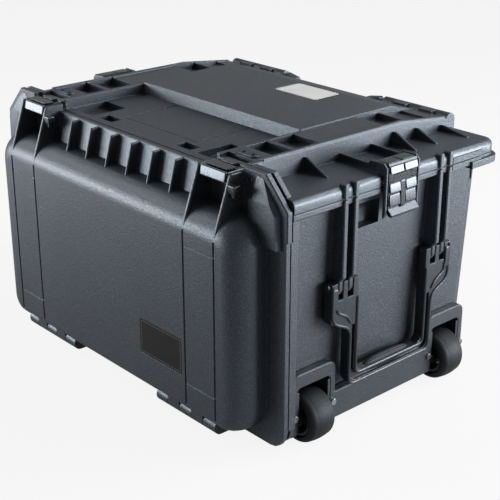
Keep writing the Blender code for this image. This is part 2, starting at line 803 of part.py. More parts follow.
def lid_ring(z, inset):
    """The lid's outline at a height."""
    return [(x, y, z) for x, y in rim_outline(inset, LID_FRONT)]


def fallen(fall, y):
    """How far a top has fallen at a place along Y."""
    return fall[1] * max(0.0, y - fall[0]) / (PLATFORM_BACK - fall[0])


def rails():
    """The two raised rails that run from the front latches to the back."""
    made = []
    front = LID_FRONT + 2 * STEP
    root = SHELF - LID_SKIN
    section = [(front, root), (front, RAIL_TOP), (RAIL_FALL[0], RAIL_TOP)]
    section += [(PLATFORM_BACK, RAIL_TOP - RAIL_FALL[1]), (PLATFORM_BACK, root)]
    for side in (1, -1):
        x = [side * RAIL_INNER, side * RAIL_OUTER]
        made.append(plate("rail", "X", x, section, EDGE))
    return gather("rails", made)


def rail_beads():
    """The bead along the outer edge of each rail."""
    made = []
    front = COVER_PLANE + LATCH_BAY_BACK + WALL
    top = RAIL_TOP + BEAD_RISE
    back = PLATFORM_BACK - WALL
    fall = fallen(RAIL_FALL, back)
    low = RAIL_TOP - 2 * BEAD_RISE
    section = [(front, low), (front, top), (RAIL_FALL[0], top)]
    section += [(back, top - fall), (back, low - fall), (RAIL_FALL[0], low)]
    for side in (1, -1):
        x = [side * (RAIL_OUTER - BEAD_WIDTH), side * (RAIL_OUTER - FIT)]
        made.append(plate("bead", "X", x, section, EDGE))
    return gather("rail_beads", made)


def rail_pockets():
    """The open pockets in the rails, and the bays at their front ends for the front latches."""
    made = []
    for side in (1, -1):
        x = [side * (RAIL_INNER + RAIL_WALL), side * (RAIL_OUTER - RAIL_WALL)]
        for y in POCKETS:
            made.append(box("pocket", x, y, (RAIL_TOP - POCKET_DEPTH, RAIL_TOP + WALL)))
        bay_y = (COVER_PLANE - WALL, COVER_PLANE + LATCH_BAY_BACK)
        bay_x = [side * (LATCH_INNER - FIT), side * (LATCH_OUTER + FIT)]
        made.append(box("bay", bay_x, bay_y, (LATCH_PIN_AT[1] - 1.5 * LATCH_BOSS, RAIL_TOP + WALL)))
    return gather("rail_pockets", made)


def lid_lines():
    """The line round the front panel, the two square sockets before it and the recesses beside it."""
    level = (PANEL - LINE_DEPTH, PANEL + LINE_DEPTH)
    inner = PANEL_HALF - LINE_WIDTH
    stop = PLATFORM_FRONT - FIT
    near = PANEL_FRONT + LINE_WIDTH
    path = [(PANEL_HALF, stop), (PANEL_HALF, PANEL_FRONT), (-PANEL_HALF, PANEL_FRONT), (-PANEL_HALF, stop)]
    path += [(-inner, stop), (-inner, near), (inner, near), (inner, stop)]
    made = [outline("panel_line", "Z", level, path)]
    for side in (1, -1):
        x = [side * SOCKET_AT[0] + half * SOCKET_SIZE[0] for half in (-0.5, 0.5)]
        y = [SOCKET_AT[1] + half * SOCKET_SIZE[1] for half in (-0.5, 0.5)]
        made.append(box("socket", x, y, (PANEL - SOCKET_DEPTH, PANEL + WALL)))
        x = [side * SIDE_RECESS[0], side * (RAIL_INNER - STEP)]
        made.append(box("side_recess", x, SIDE_RECESS[1:], (PANEL - SIDE_RECESS_DEPTH, PANEL + WALL)))
    return gather("lid_lines", made)


def lid_hollows():
    """The hollow under the lid, under its shelf, front panel, platform and rails."""
    side = wall_x(RIM_BOTTOM) - WALL - FIT
    back = wall_back(RIM_BOTTOM) - WALL - FIT
    front = COVER_PLANE + FRAME_DEPTH
    radius = BODY_CORNER - WALL
    low = LID_PLANE - WALL
    plan = rounded([(-side, front), (side, front), (side, back, radius), (-side, back, radius)])
    inner = RAIL_INNER - LID_SKIN
    made = [outline("shelf_hollow", "Z", (low, SHELF - LID_SKIN), plan)]
    panel_y = (PANEL_FRONT - LID_SKIN / 2, PLATFORM_FRONT - LID_SKIN)
    panel_side = SIDE_RECESS[0] - LID_SKIN
    made.append(box("panel_hollow", (-panel_side, panel_side), panel_y, (low, PANEL - LID_SKIN)))
    top = PLATFORM - LID_SKIN
    back_end = PLATFORM_BACK - LID_SKIN
    front_end = PLATFORM_FRONT + LID_SKIN
    section = [(front_end, low), (front_end, top), (PLATFORM_FALL[0] - LID_SKIN, top)]
    section += [(back_end, top - PLATFORM_FALL[1]), (back_end, low)]
    made.append(outline("platform_hollow", "X", (-inner, inner), section))
    rail_side = []
    roof = RAIL_TOP - POCKET_DEPTH - LID_SKIN - RAIL_FALL[1] / 2
    for sign in (1, -1):
        x = [sign * (RAIL_INNER + LID_SKIN), sign * (RAIL_OUTER - LID_SKIN)]
        y = (COVER_PLANE + LATCH_BAY_BACK + LID_SKIN, PLATFORM_BACK - LID_SKIN)
        rail_side.append(box("rail_hollow", x, y, (low, roof)))
    return [*made, gather("rail_hollows", rail_side)]


def gussets():
    """The upright triangular webs between the rails and the end shelves."""
    made = []
    root = SHELF - LID_SKIN / 2
    start = RAIL_OUTER - LID_SKIN / 2
    for side in (1, -1):
        for y, reach in GUSSETS:
            top = SHELF + GUSSET_RISE - fallen(RAIL_FALL, y)
            toe = RAIL_OUTER + reach
            profile = [(start, root), (start, top), (RAIL_OUTER + GUSSET_CAP, top)]
            profile += [(toe, SHELF + EDGE), (toe, root)]
            ends = (y - GUSSET_THICK / 2, y + GUSSET_THICK / 2)
            made.append(plate("gusset", "Y", ends, [(side * x, z) for x, z in profile], THIN_EDGE))
    return gather("gussets", made)


def latch_brackets():
    """The two walls at each end that carry the end latch and hang down beside it."""
    made = []
    outer = HALF + BRACKET_PROUD
    inner = HALF + RIM_CLEARANCE
    arm = LID_PLANE + BRACKET_ARM
    top = LID_PLANE + BRACKET_RISE
    shoulder = top - BRACKET_CHAMFER
    foot = LID_PLANE - BRACKET_DROP
    root = SHELF - LID_SKIN / 2 - STEP
    start = RAIL_OUTER - LID_SKIN / 2 + STEP
    for side in (1, -1):
        profile = [(start, root), (start, arm), (LINK_PIVOT[0] - 3 * LINK_BOSS, arm)]
        profile += [(LINK_PIVOT[0] - 2 * LINK_BOSS, top), (outer - BRACKET_CHAMFER, top)]
        profile += [(outer, shoulder), (outer, foot + BRACKET_CHAMFER)]
        profile += [(outer - BRACKET_CHAMFER / 2, foot), (inner, foot), (inner, root)]
        for sign in (1, -1):
            near = END_MIDDLE + sign * (LATCH_HALF + BRACKET_GAP)
            ends = (near, near + sign * BRACKET_THICK)
            made.append(plate("bracket", "Y", ends, [(side * x, z) for x, z in profile], THIN_EDGE))
    return gather("latch_brackets", made)


def rim_stubs():
    """The short ends of the handle ribs that are moulded on the lid's rim."""
    made = []
    for side in (1, -1):
        x = [side * (HALF - RIM_OVERHANG / 2), side * (HALF + HANDLE_RIB_PROUD)]
        for y in handle_rib_places():
            ends = (y - HANDLE_RIB / 2, y + HANDLE_RIB / 2)
            loop = rectangle(sorted(x), (LID_BOTTOM + STEP, LID_PLANE + LID_RIM + STUB_RISE))
            made.append(plate("stub", "Y", ends, loop, EDGE))
    return gather("rim_stubs", made)


def lid_knuckles():
    """The lid's knuckles of the back hinge."""
    y, z = LID_HINGE
    front = y - LID_KNUCKLE - HINGE_ROOM - LID_SKIN / 2
    root = SHELF - LID_SKIN / 2
    web = y - LID_KNUCKLE - 2 * HINGE_ROOM / 3
    profile = [(front, root), (web, root), (web + HINGE_ROOM, z - LID_KNUCKLE / 2)]
    profile += [*arc((y, z), LID_KNUCKLE, -90, 90), (front, z + LID_KNUCKLE)]
    spans = both_sides(segments(LID_HINGE_SPAN, HINGE_SEGMENTS, (1, 3)))
    return gather("lid_knuckles", [outline("knuckle", "X", span, profile) for span in spans])


def hinge_lugs():
    """The sloping lug that stands beside each half of the back hinge."""
    made = []
    root = SHELF - LID_SKIN / 2
    top = LID_HINGE[1] + LID_KNUCKLE
    inner, outer = HINGE_LUG
    corners = [(inner - LID_KNUCKLE, root), (inner, top - LID_KNUCKLE / 2)]
    corners += [(outer, top, LID_KNUCKLE / 2), (outer, root)]
    ends = (LID_HINGE[0] - LID_KNUCKLE, RIM_BACK - RIM_CLEARANCE)
    for side in (1, -1):
        made.append(plate("lug", "Y", ends, [(side * x, z) for x, z in rounded(corners)], EDGE))
    return gather("hinge_lugs", made)


def hinge_room():
    """The room in the lid's back edge for the hinge."""
    made = []
    for a, b in both_sides([LID_HINGE_SPAN]):
        y = (LID_HINGE[0] - LID_KNUCKLE - HINGE_ROOM, RIM_BACK + WALL)
        made.append(box("room", (a - KNUCKLE_GAP, b + KNUCKLE_GAP), y, (LID_PLANE - WALL, SHELF + WALL)))
    return gather("hinge_room", made)


def latch_bays():
    """The notches in the lid's rim that the end latches lie in."""
    made = []
    for side in (1, -1):
        x = [side * (HALF - LATCH_BAY), side * (HALF + RIM_CLEARANCE / 2)]
        y = [END_MIDDLE + sign * (LATCH_HALF + BRACKET_GAP - FIT) for sign in (1, -1)]
        made.append(box("bay", x, y, (LID_PLANE - WALL, SHELF + WALL)))
    return gather("latch_bays", made)


def platform_block(half):
    """The raised middle of the lid, with an upright front wall and a top that falls towards the back."""
    root = SHELF - LID_SKIN - STEP
    section = [(PLATFORM_FRONT, root), (PLATFORM_FRONT, PLATFORM), (PLATFORM_FALL[0], PLATFORM)]
    section += [(PLATFORM_BACK, PLATFORM - PLATFORM_FALL[1]), (PLATFORM_BACK, root)]
    return outline("platform_block", "X", (-half, half), section)


def ear_walls():
    """The lid's walls behind the two ears of the front cover."""
    made = []
    root = RAIL_OUTER - LID_SKIN / 2 - STEP
    side = EAR_HALF - STEP
    top = EAR_TOP - STEP
    corners = [(root, LID_BOTTOM + STEP), (side, LID_BOTTOM + STEP), (side, top - EAR_CHAMFER[1])]
    corners += [(side - EAR_CHAMFER[0], top), (root, top)]
    ends = (LID_FRONT + 3 * STEP, COVER_PLANE + FRAME_DEPTH)
    for sign in (1, -1):
        made.append(plate("ear_wall", "Y", ends, [(sign * x, z) for x, z in corners], THIN_EDGE))
    return gather("ear_walls", made)


def make_lid(parent):
    """The lid with its rails, platform, gussets, brackets and hinge knuckles."""
    rim_top = LID_PLANE + LID_RIM
    edge = SHELF - rim_top
    rings = [lid_ring(LID_BOTTOM, 0.0)]
    for i in range(RIM_STEPS + 1):
        turn = math.radians(90 * i / RIM_STEPS)
        rings.append(lid_ring(rim_top + edge * math.sin(turn), edge * (1 - math.cos(turn))))
    lid = loft("lid_shell", rings)
    root = SHELF - LID_SKIN
    middle = RAIL_INNER + BITE
    panel_y = (LID_FRONT + STEP, PLATFORM_FRONT + WALL)
    front = box("panel_block", (-middle, middle), panel_y, (root, PANEL))
    fuse(lid, front, platform_block(middle + 2 * STEP), rails(), rail_beads())
    left, right, near, far = LABEL_BOX
    across = (left - LABEL_MARGIN, right + LABEL_MARGIN)
    along = (near - LABEL_MARGIN, far + LABEL_MARGIN)
    recess = rounded(rectangle(across, along, LABEL_CORNER + LABEL_MARGIN))
    cut(lid, outline("label_recess", "Z", (PLATFORM - LABEL_RECESS, PLATFORM + WALL), recess))
    cut(lid, *lid_hollows(), rail_pockets(), lid_lines(), hinge_room(), latch_bays())
    fuse(lid, gussets(), latch_brackets(), rim_stubs(), lid_knuckles(), hinge_lugs())
    fuse(lid, rim_bands("lid_bands", LID_BOTTOM, rim_top), ear_walls())
    cut(lid, padlock_holes())
    pivots = []
    for side in (1, -1):
        reach = LATCH_HALF + BRACKET_GAP + 2 * BRACKET_THICK
        ends = [(side * LINK_PIVOT[0], END_MIDDLE + sign * reach, LINK_PIVOT[1]) for sign in (-1, 1)]
        pivots.append(rod("pivot", "Y", ends, END_PIN + FIT))
        x = [side * (RAIL_INNER - WALL), side * (RAIL_OUTER + WALL)]
        pivots.append(rod("pivot", "X", [(end, *LATCH_PIN_AT) for end in sorted(x)], LATCH_PIN + FIT))
    cut(lid, gather("latch_pivots", pivots))
    cut(lid, hinge_bores("lid_pin_bores", LID_HINGE_SPAN, LID_HINGE, HINGE_PIN + FIT))
    keep(lid, SHELL, parent)


# Front cover


def pillow_inset(turn):
    """How far the pillow's front, top, sides and bottom have drawn in, part-way round its edge."""
    front = COVER_FRONT + PILLOW_ROUND * (1 - math.sin(turn))
    inward = 1 - math.cos(turn)
    return front, PILLOW_ROUND * inward, PILLOW_SIDE_ROUND * inward, PILLOW_FOOT_ROUND * inward


def pillow_ring(y, top, side, foot):
    """The pillow's outline at a depth."""
    across = (-PILLOW_HALF + side, PILLOW_HALF - side)
    corners = rectangle(across, (PILLOW_BOTTOM + foot, PILLOW_TOP - top), PILLOW_CORNER - side)
    return [(x, y, z) for x, z in rounded(corners, PILLOW_STEPS)]


def pillow():
    """The bulging front of the cover."""
    turns = [math.radians(90 * i / PILLOW_STEPS) for i in range(PILLOW_STEPS + 1)]
    rings = [pillow_ring(COVER_PLANE - FLANGE / 2, 0.0, 0.0, 0.0)]
    rings += [pillow_ring(*pillow_inset(turn)) for turn in turns]
    return loft("pillow", rings)


def pillow_hollow():
    """The room inside the cover."""
    rings = []
    side = PILLOW_HALF - 1.5 * COVER_WALL
    top = PILLOW_TOP - COVER_WALL
    depths = [(COVER_PLANE + FLANGE, 0.0), (COVER_FRONT + PILLOW_ROUND, 0.0)]
    for y, inset in (*depths, (COVER_FRONT + 2 * COVER_WALL, CAVITY_INSET)):
        corners = rectangle((-side + inset, side - inset), (SILL_TOP, top - inset), PILLOW_CORNER - inset)
        rings.append([(x, y, z) for x, z in rounded(corners)])
    return loft("pillow_hollow", rings)


def flange():
    """The cover's flat edge, with the two tall ears at its top corners."""
    right = [
        (FLANGE_HALF, FLANGE_BOTTOM, FLANGE_CORNER),
        (FLANGE_HALF, EAR_FOOT),
        (EAR_HALF, EAR_FOOT),
        (EAR_HALF, EAR_TOP - EAR_CHAMFER[1]),
        (EAR_HALF - EAR_CHAMFER[0], EAR_TOP),
        (STRAP_OUTER + STRAP_THICK / 4, EAR_TOP),
        (STRAP_OUTER + STRAP_THICK / 4, LATCH_NOTCH),
        (STRAP_INNER - STRAP_THICK / 4, LATCH_NOTCH),
        (STRAP_INNER - STRAP_THICK / 4, COVER_TOP),
    ]
    return plate("flange", "Y", (COVER_PLANE - FLANGE, COVER_BACK), rounded(mirrored(right)), EDGE)


def short_ribs():
    """The six short ribs between the pillow's shoulder and the top edge."""
    made = []
    root = COVER_PLANE - FLANGE / 2
    foot = LID_PLANE - RIB_DROP
    front = COVER_PLANE - RIB_FOOT_DEPTH
    profile = [(root, COVER_TOP - 2 * STEP), (COVER_PLANE - RIB_TOP_DEPTH, COVER_TOP - BITE)]
    profile += [(front, foot), (front, foot - RIB_TAIL), (root, foot - RIB_TAIL)]
    for i in range(RIB_COUNT):
        x = (i - (RIB_COUNT - 1) / 2) * RIB_PITCH
        made.append(plate("rib", "X", (x - RIB_THICK / 2, x + RIB_THICK / 2), profile, EDGE))
    return gather("short_ribs", made)


def straps():
    """The two pairs of tall ribs that stand beside the front latches."""
    made = []
    top = LID_PLANE + STRAP_RISE
    foot = LID_PLANE - STRAP_FOOT
    tail = foot - STRAP_TAIL
    back = COVER_BACK - STEP
    corners = [(back, top), (COVER_PLANE - STRAP_TOP_DEPTH, top, STRAP_CORNER)]
    corners += [(COVER_FRONT + STEP, foot, STRAP_ROUND), (COVER_FRONT + 3 * STEP, tail)]
    corners += [(COVER_FRONT + COVER_WALL, tail - COVER_WALL), (back, foot)]
    profile = rounded(corners)
    for middle in (STRAP_INNER, STRAP_OUTER, -STRAP_INNER, -STRAP_OUTER):
        ends = (middle - STRAP_THICK / 2, middle + STRAP_THICK / 2)
        made.append(plate("strap", "X", ends, profile, EDGE))
    return gather("straps", made)


def face_line(offset, start):
    """The pillow's upright section from its shoulder to its foot, moved inwards by an offset."""
    line = []
    turns = [start + (90 - start) * i / CORNER_STEPS for i in range(CORNER_STEPS + 1)]
    for degrees in turns:
        turn = math.radians(degrees)
        y, top, _, _ = pillow_inset(turn)
        line.append((y + offset * math.sin(turn), PILLOW_TOP - top - offset * math.cos(turn)))
    for degrees in reversed(turns):
        turn = math.radians(degrees)
        y, _, _, foot = pillow_inset(turn)
        line.append((y + offset * math.sin(turn), PILLOW_BOTTOM + foot + offset * math.cos(turn)))
    return line


def face_grooves():
    """The grooves that carry the strap ribs' lines down the pillow, and the short grooves across."""
    path = face_line(-WALL, GROOVE_START) + list(reversed(face_line(FACE_GROOVE, GROOVE_START)))
    lines, across = [], []
    for middle in (STRAP_INNER, STRAP_OUTER, -STRAP_INNER, -STRAP_OUTER):
        lines.append(outline("groove", "X", (middle - GROOVE_WIDTH / 2, middle + GROOVE_WIDTH / 2), path))
    for side in (1, -1):
        x = [side * (STRAP_INNER - GROOVE_WIDTH / 4), side * (STRAP_OUTER + GROOVE_WIDTH / 4)]
        y = (COVER_FRONT - WALL, COVER_FRONT + 0.8 * FACE_GROOVE)
        for z in CROSS_GROOVES:
            across.append(box("cross", x, y, (z - GROOVE_WIDTH / 3, z + GROOVE_WIDTH / 3)))
    return gather("cross_grooves", across), gather("strap_grooves", lines)


def cover_knuckles():
    """The cover's knuckles of the bottom hinge."""
    y, z = COVER_HINGE
    top = z + 2 * COVER_KNUCKLE
    profile = [(y - COVER_KNUCKLE, top), *arc((y, z), COVER_KNUCKLE, 180, 360), (y + COVER_KNUCKLE, top)]
    spans = both_sides(segments(COVER_HINGE_SPAN, HINGE_SEGMENTS, (1, 3)))
    return gather("cover_knuckles", [outline("knuckle", "X", span, profile) for span in spans])


def ear_notches():
    """The notches in the cover's foot that the body's ears swing in."""
    made = []
    y = (COVER_HINGE[0] - COVER_KNUCKLE - NOTCH_ROOM, COVER_PLANE + FLANGE)
    z = (-WALL, COVER_HINGE[1] + COVER_KNUCKLE + HINGE_ROOM)
    for a, b in both_sides(segments(COVER_HINGE_SPAN, HINGE_SEGMENTS, (0, 2, 4))):
        made.append(box("notch", (a - 2.5 * KNUCKLE_GAP, b + 2.5 * KNUCKLE_GAP), y, z))
    return gather("ear_notches", made)


def cover_seal(name, y, width):
    """The cover's seal, or its groove, as a closed frame."""
    side = FLANGE_HALF - FRAME_BAND / 2 - SEAL_WIDTH / 2 + width / 2
    low = SILL_TOP - COVER_SEAL_LOW + SEAL_WIDTH / 2 - width / 2
    high = LID_PLANE + COVER_SEAL_HIGH - SEAL_WIDTH / 2 + width / 2
    outer = rounded(rectangle((-side, side), (low, high), COVER_SEAL_CORNER + width / 2))
    inner_z = (low + width, high - width)
    inner = rounded(rectangle((-side + width, side - width), inner_z, COVER_SEAL_CORNER - width / 2))
    return outline(name, "Y", y, outer, list(reversed(inner)))


def padlock_holes():
    """The hole in each ear of the flange and the lid's wall behind it."""
    made = []
    for side in (1, -1):
        x = side * (HALF - PADLOCK_AT[0])
        z = EAR_TOP - PADLOCK_AT[1]
        ends = ((x, COVER_PLANE - 2 * FLANGE, z), (x, COVER_PLANE + 2 * FLANGE, z))
        made.append(rod("hole", "Y", ends, PADLOCK_HOLE))
    return gather("padlock_holes", made)


def plate_outline(inset):
    """The nameplate's outline."""
    left, right, low, high = PLATE_BOX
    across = (left + inset, right - inset)
    return rounded(rectangle(across, (low + inset, high - inset), PLATE_CORNER - inset))


def make_cover(parent):
    """The front cover and the bare plate in its recess."""
    cover = flange()
    cover.name = "front_cover"
    fuse(cover, pillow(), short_ribs(), straps(), cover_knuckles())
    cut(cover, pillow_hollow(), ear_notches(), padlock_holes())
    recess = (COVER_FRONT - WALL, COVER_FRONT + PLATE_RECESS)
    cut(cover, outline("plate_recess", "Y", recess, plate_outline(0.0)))
    groove = (COVER_PLANE - GROOVE_DEPTH, COVER_PLANE + WALL)
    cut(cover, cover_seal("cover_groove", groove, SEAL_WIDTH + 2 * FIT))
    cut(cover, hinge_bores("cover_pin_bores", COVER_HINGE_SPAN, COVER_HINGE, HINGE_PIN + FIT))
    cut(cover, *face_grooves())
    keep(cover, SHELL, parent)
    back = COVER_FRONT + PLATE_RECESS - FIT
    keep(outline("nameplate", "Y", (back - PLATE_THICK, back), plate_outline(FIT)), LABEL_DARK, parent)
    seal_y = (COVER_PLANE - GROOVE_DEPTH + FIT, COVER_PLANE - GROOVE_DEPTH + FIT + SEAL_HEIGHT)
    keep(cover_seal("cover_seal", seal_y, SEAL_WIDTH), RUBBER, parent)


# Pins, latches and handles


def make_hinge_pins():
    """The pins of the two hinges."""
    hinges = (("lid", LID_HINGE_SPAN, LID_HINGE), ("cover", COVER_HINGE_SPAN, COVER_HINGE))
    for side, word in ((1, "right"), (-1, "left")):
        for name, span, place in hinges:
            a, b = sorted((side * (span[0] + FIT), side * (span[1] - FIT)))
            pin = rod(f"{name}_hinge_pin_{word}", "X", ((a, *place), (b, *place)), HINGE_PIN)
            keep(pin, STEEL, smooth=True)


def make_front_latch(side, word, lid_parent):
    """One front latch with its pin, and the steel plate behind it."""
    y, z = LATCH_PIN_AT
    parent = axis_empty(f"front_latch_axis_{word}", (side * (LATCH_INNER + LATCH_OUTER) / 2, y, z))
    front = COVER_PLANE - LATCH_FRONT
    under = LATCH_TOP - LATCH_PLATE
    profile = [
        (front, LATCH_TOP - LATCH_LIP),
        (front + LATCH_PLATE, LATCH_TOP - LATCH_LIP),
        (front + LATCH_PLATE, under),
        (y - LATCH_BOSS, under),
        (y - LATCH_BOSS, z - LATCH_BOSS),
        (y + LATCH_BOSS, z - LATCH_BOSS),
        (y + LATCH_BOSS, z + LATCH_BOSS),
        (y - LATCH_BOSS, z + LATCH_BOSS),
        (y - LATCH_BOSS - LATCH_CHAMFER, LATCH_TOP),
        (front + LATCH_CHAMFER, LATCH_TOP),
        (front, LATCH_TOP - LATCH_CHAMFER),
    ]
    x = [side * LATCH_INNER, side * LATCH_OUTER]
    latch = plate(f"front_latch_{word}", "X", x, profile, THIN_EDGE)
    ends = sorted((side * (LATCH_INNER - RAIL_WALL), side * (LATCH_OUTER + RAIL_WALL)))
    cut(latch, rod("latch_bore", "X", [(end, y, z) for end in ends], LATCH_PIN + FIT))
    keep(latch, LATCH_GREY, parent)
    ends = sorted((side * (RAIL_INNER + FIT), side * (RAIL_OUTER - FIT)))
    pin = rod(f"front_latch_pin_{word}", "X", [(end, y, z) for end in ends], LATCH_PIN)
    keep(pin, STEEL, lid_parent, True)
    middle = (side * (RAIL_INNER + RAIL_OUTER) / 2, COVER_PLANE + KEEPER_AT)
    half = (KEEPER_SIZE[0] / 2, KEEPER_SIZE[1] / 2)
    span = [(middle[i] - half[i], middle[i] + half[i]) for i in (0, 1)]
    loops = [rounded(rectangle(span[0], span[1], half[1] - 2 * STEP))]
    for offset in (-half[0] / 2, half[0] / 2):
        loops.append(list(reversed(arc((middle[0] + offset, middle[1]), KEEPER_HOLE, 0, 330, 11))))
    level = (RAIL_TOP + FIT, RAIL_TOP + FIT + KEEPER_THICK)
    keep(outline(f"padlock_plate_{word}", "Z", level, *loops), STEEL, lid_parent)


def make_end_latch(side, word, lid_parent):
    """One end latch: the link on the lid, the lever on the link, and their pins."""
    x, z = LINK_PIVOT
    link_axis = axis_empty(f"end_latch_axis_{word}", (side * x, END_MIDDLE, z))
    lever_x = (LINK_INNER + LINK_OUTER) / 2
    lever_axis = axis_empty(f"lever_axis_{word}", (side * lever_x, END_MIDDLE, LEVER_PIVOT))
    roof = LINK_TOP - LINK_ROOF
    profile = [
        (x - LINK_BOSS, z - LINK_BOSS),
        (x + LINK_BOSS, z - LINK_BOSS),
        (x + LINK_BOSS, roof),
        (LINK_INNER, roof),
        (LINK_INNER, PRONG_FOOT),
        (LINK_OUTER, PRONG_FOOT),
        (LINK_OUTER, LINK_TOP - LINK_CHAMFER),
        (LINK_OUTER - LINK_CHAMFER, LINK_TOP),
        (x - LINK_BOSS, LINK_TOP),
    ]
    y = (END_MIDDLE - LATCH_HALF, END_MIDDLE + LATCH_HALF)
    link = plate(f"end_latch_link_{word}", "Y", y, [(side * u, v) for u, v in profile], THIN_EDGE)
    gap = [END_MIDDLE - PRONG_HALF, END_MIDDLE + PRONG_HALF]
    across = [side * (LINK_INNER - WALL), side * (LINK_OUTER + WALL)]
    cut(link, box("link_gap", across, gap, (PRONG_FOOT - WALL, LINK_FOOT)))
    bore_y = (y[0] - WALL, y[1] + WALL)
    cut(link, rod("link_bore", "Y", [(side * x, end, z) for end in bore_y], END_PIN + FIT))
    lever_ends = [(side * lever_x, end, LEVER_PIVOT) for end in bore_y]
    cut(link, rod("prong_bore", "Y", lever_ends, LEVER_PIN + FIT))
    keep(link, LATCH_GREY, link_axis)

    lip = LINK_OUTER + LEVER_LIP
    profile = [
        (LINK_INNER, LEVER_TOP),
        (LINK_OUTER, LEVER_TOP),
        (LINK_OUTER, LEVER_FOOT + LEVER_SWEEP),
        (lip, LEVER_FOOT + LEVER_TOE),
        (lip, LEVER_FOOT),
        (lip - LINK_THICK, LEVER_FOOT),
        (LINK_INNER, LEVER_FOOT + LEVER_SWEEP / 2),
    ]
    lever = plate(f"end_latch_lever_{word}", "Y", y, [(side * u, v) for u, v in profile], THIN_EDGE)
    shoulders = []
    for sign in (1, -1):
        shoulder_y = [END_MIDDLE + sign * (PRONG_HALF - 2 * FIT), END_MIDDLE + sign * (LATCH_HALF + WALL)]
        shoulders.append(box("shoulder", across, shoulder_y, (LEVER_SHOULDER, LEVER_TOP + WALL)))
    cut(lever, gather(f"shoulders_{word}", shoulders))
    cut(lever, rod("lever_bore", "Y", lever_ends, LEVER_PIN + FIT))
    keep(lever, LATCH_GREY, lever_axis)

    reach = LATCH_HALF + BRACKET_GAP + BRACKET_THICK - FIT
    ends = [(side * x, END_MIDDLE + sign * reach, z) for sign in (-1, 1)]
    keep(rod(f"end_latch_pin_{word}", "Y", ends, END_PIN), STEEL, lid_parent, True)
    ends = [(side * lever_x, end, LEVER_PIVOT) for end in (y[0] + FIT, y[1] - FIT)]
    keep(rod(f"lever_pin_{word}", "Y", ends, LEVER_PIN, 12), STEEL, link_axis, True)


def handle_outline():
    """The handle as a flat U with a slotted yoke at the top of each arm."""
    pivot = PIVOT[1]
    top = pivot + PRONG_RISE
    slot = pivot - SLOT_DROP
    half_slot = HANDLE_RIB / 2 + SLOT_SIDE
    inner_rib, outer_rib = (ARM_INNER + offset for offset in RIB_OFFSETS)
    right = [
        (ARM_OUTER, BAR_BOTTOM, HANDLE_CORNER),
        (ARM_OUTER, pivot - YOKE_STEP[0], HANDLE_CORNER / 2),
        (YOKE_OUTER, pivot - YOKE_STEP[1], HANDLE_CORNER / 4),
        (YOKE_OUTER, top),
        (outer_rib + half_slot, top),
        (outer_rib + half_slot, slot),
        (outer_rib - half_slot, slot),
        (outer_rib - half_slot, top),
        (inner_rib + half_slot, top),
        (inner_rib + half_slot, slot),
        (inner_rib - half_slot, slot),
        (inner_rib - half_slot, top),
        (ARM_INNER, top),
        (ARM_INNER, BAR_BOTTOM + BAR_HEIGHT, HANDLE_CORNER * 0.75),
    ]
    return [(END_MIDDLE + u, z) for u, z in rounded(mirrored(right))]


def channel_outline():
    """The channel down the middle of the handle's arms and bar."""
    edge = (ARM_WIDTH - HANDLE_CHANNEL) / 2
    top = PIVOT[1] - YOKE_STEP[0] + edge
    right = [
        (ARM_OUTER - edge, BAR_BOTTOM + edge, HANDLE_CORNER - edge),
        (ARM_OUTER - edge, top),
        (ARM_INNER + edge, top),
        (ARM_INNER + edge, BAR_BOTTOM + BAR_HEIGHT - edge, HANDLE_CORNER * 0.75 + edge / 2),
    ]
    return [(END_MIDDLE + u, z) for u, z in rounded(mirrored(right))]


def make_handle(side, word):
    """One bail handle and its two pins."""
    axis = axis_empty(f"handle_axis_{word}", (side * PIVOT[0], END_MIDDLE, PIVOT[1]))
    face = HALF - HANDLE_FRONT
    x = [side * (face - HANDLE_DEPTH), side * face]
    handle = plate(f"handle_{word}", "X", x, handle_outline(), HANDLE_EDGE, 2)
    channel_x = [side * (face - CHANNEL_DEPTH), side * (face + CHANNEL_DEPTH)]
    cut(handle, outline(f"channel_{word}", "X", channel_x, channel_outline()))
    bores = []
    for sign, place in ((1, "back"), (-1, "front")):
        inner = END_MIDDLE + sign * (ARM_INNER - WALL)
        outer = END_MIDDLE + sign * (YOKE_OUTER + WALL)
        ends = [(side * PIVOT[0], y, PIVOT[1]) for y in (inner, outer)]
        bores.append(rod("bore", "Y", ends, HANDLE_PIN + FIT))
        pin_y = [END_MIDDLE + sign * u for u in (ARM_INNER + FIT, YOKE_OUTER + FIT)]
        ends = [(side * PIVOT[0], y, PIVOT[1]) for y in pin_y]
        head = (HANDLE_PIN_HEAD, HANDLE_PIN_HEAD_THICK)
        pin = rod(f"handle_pin_{word}_{place}", "Y", ends, HANDLE_PIN, head=head)
        keep(pin, STEEL, smooth=True)
    cut(handle, gather(f"handle_bores_{word}", bores))
    keep(handle, HANDLE_BLACK, axis)


# Wheels and carrier


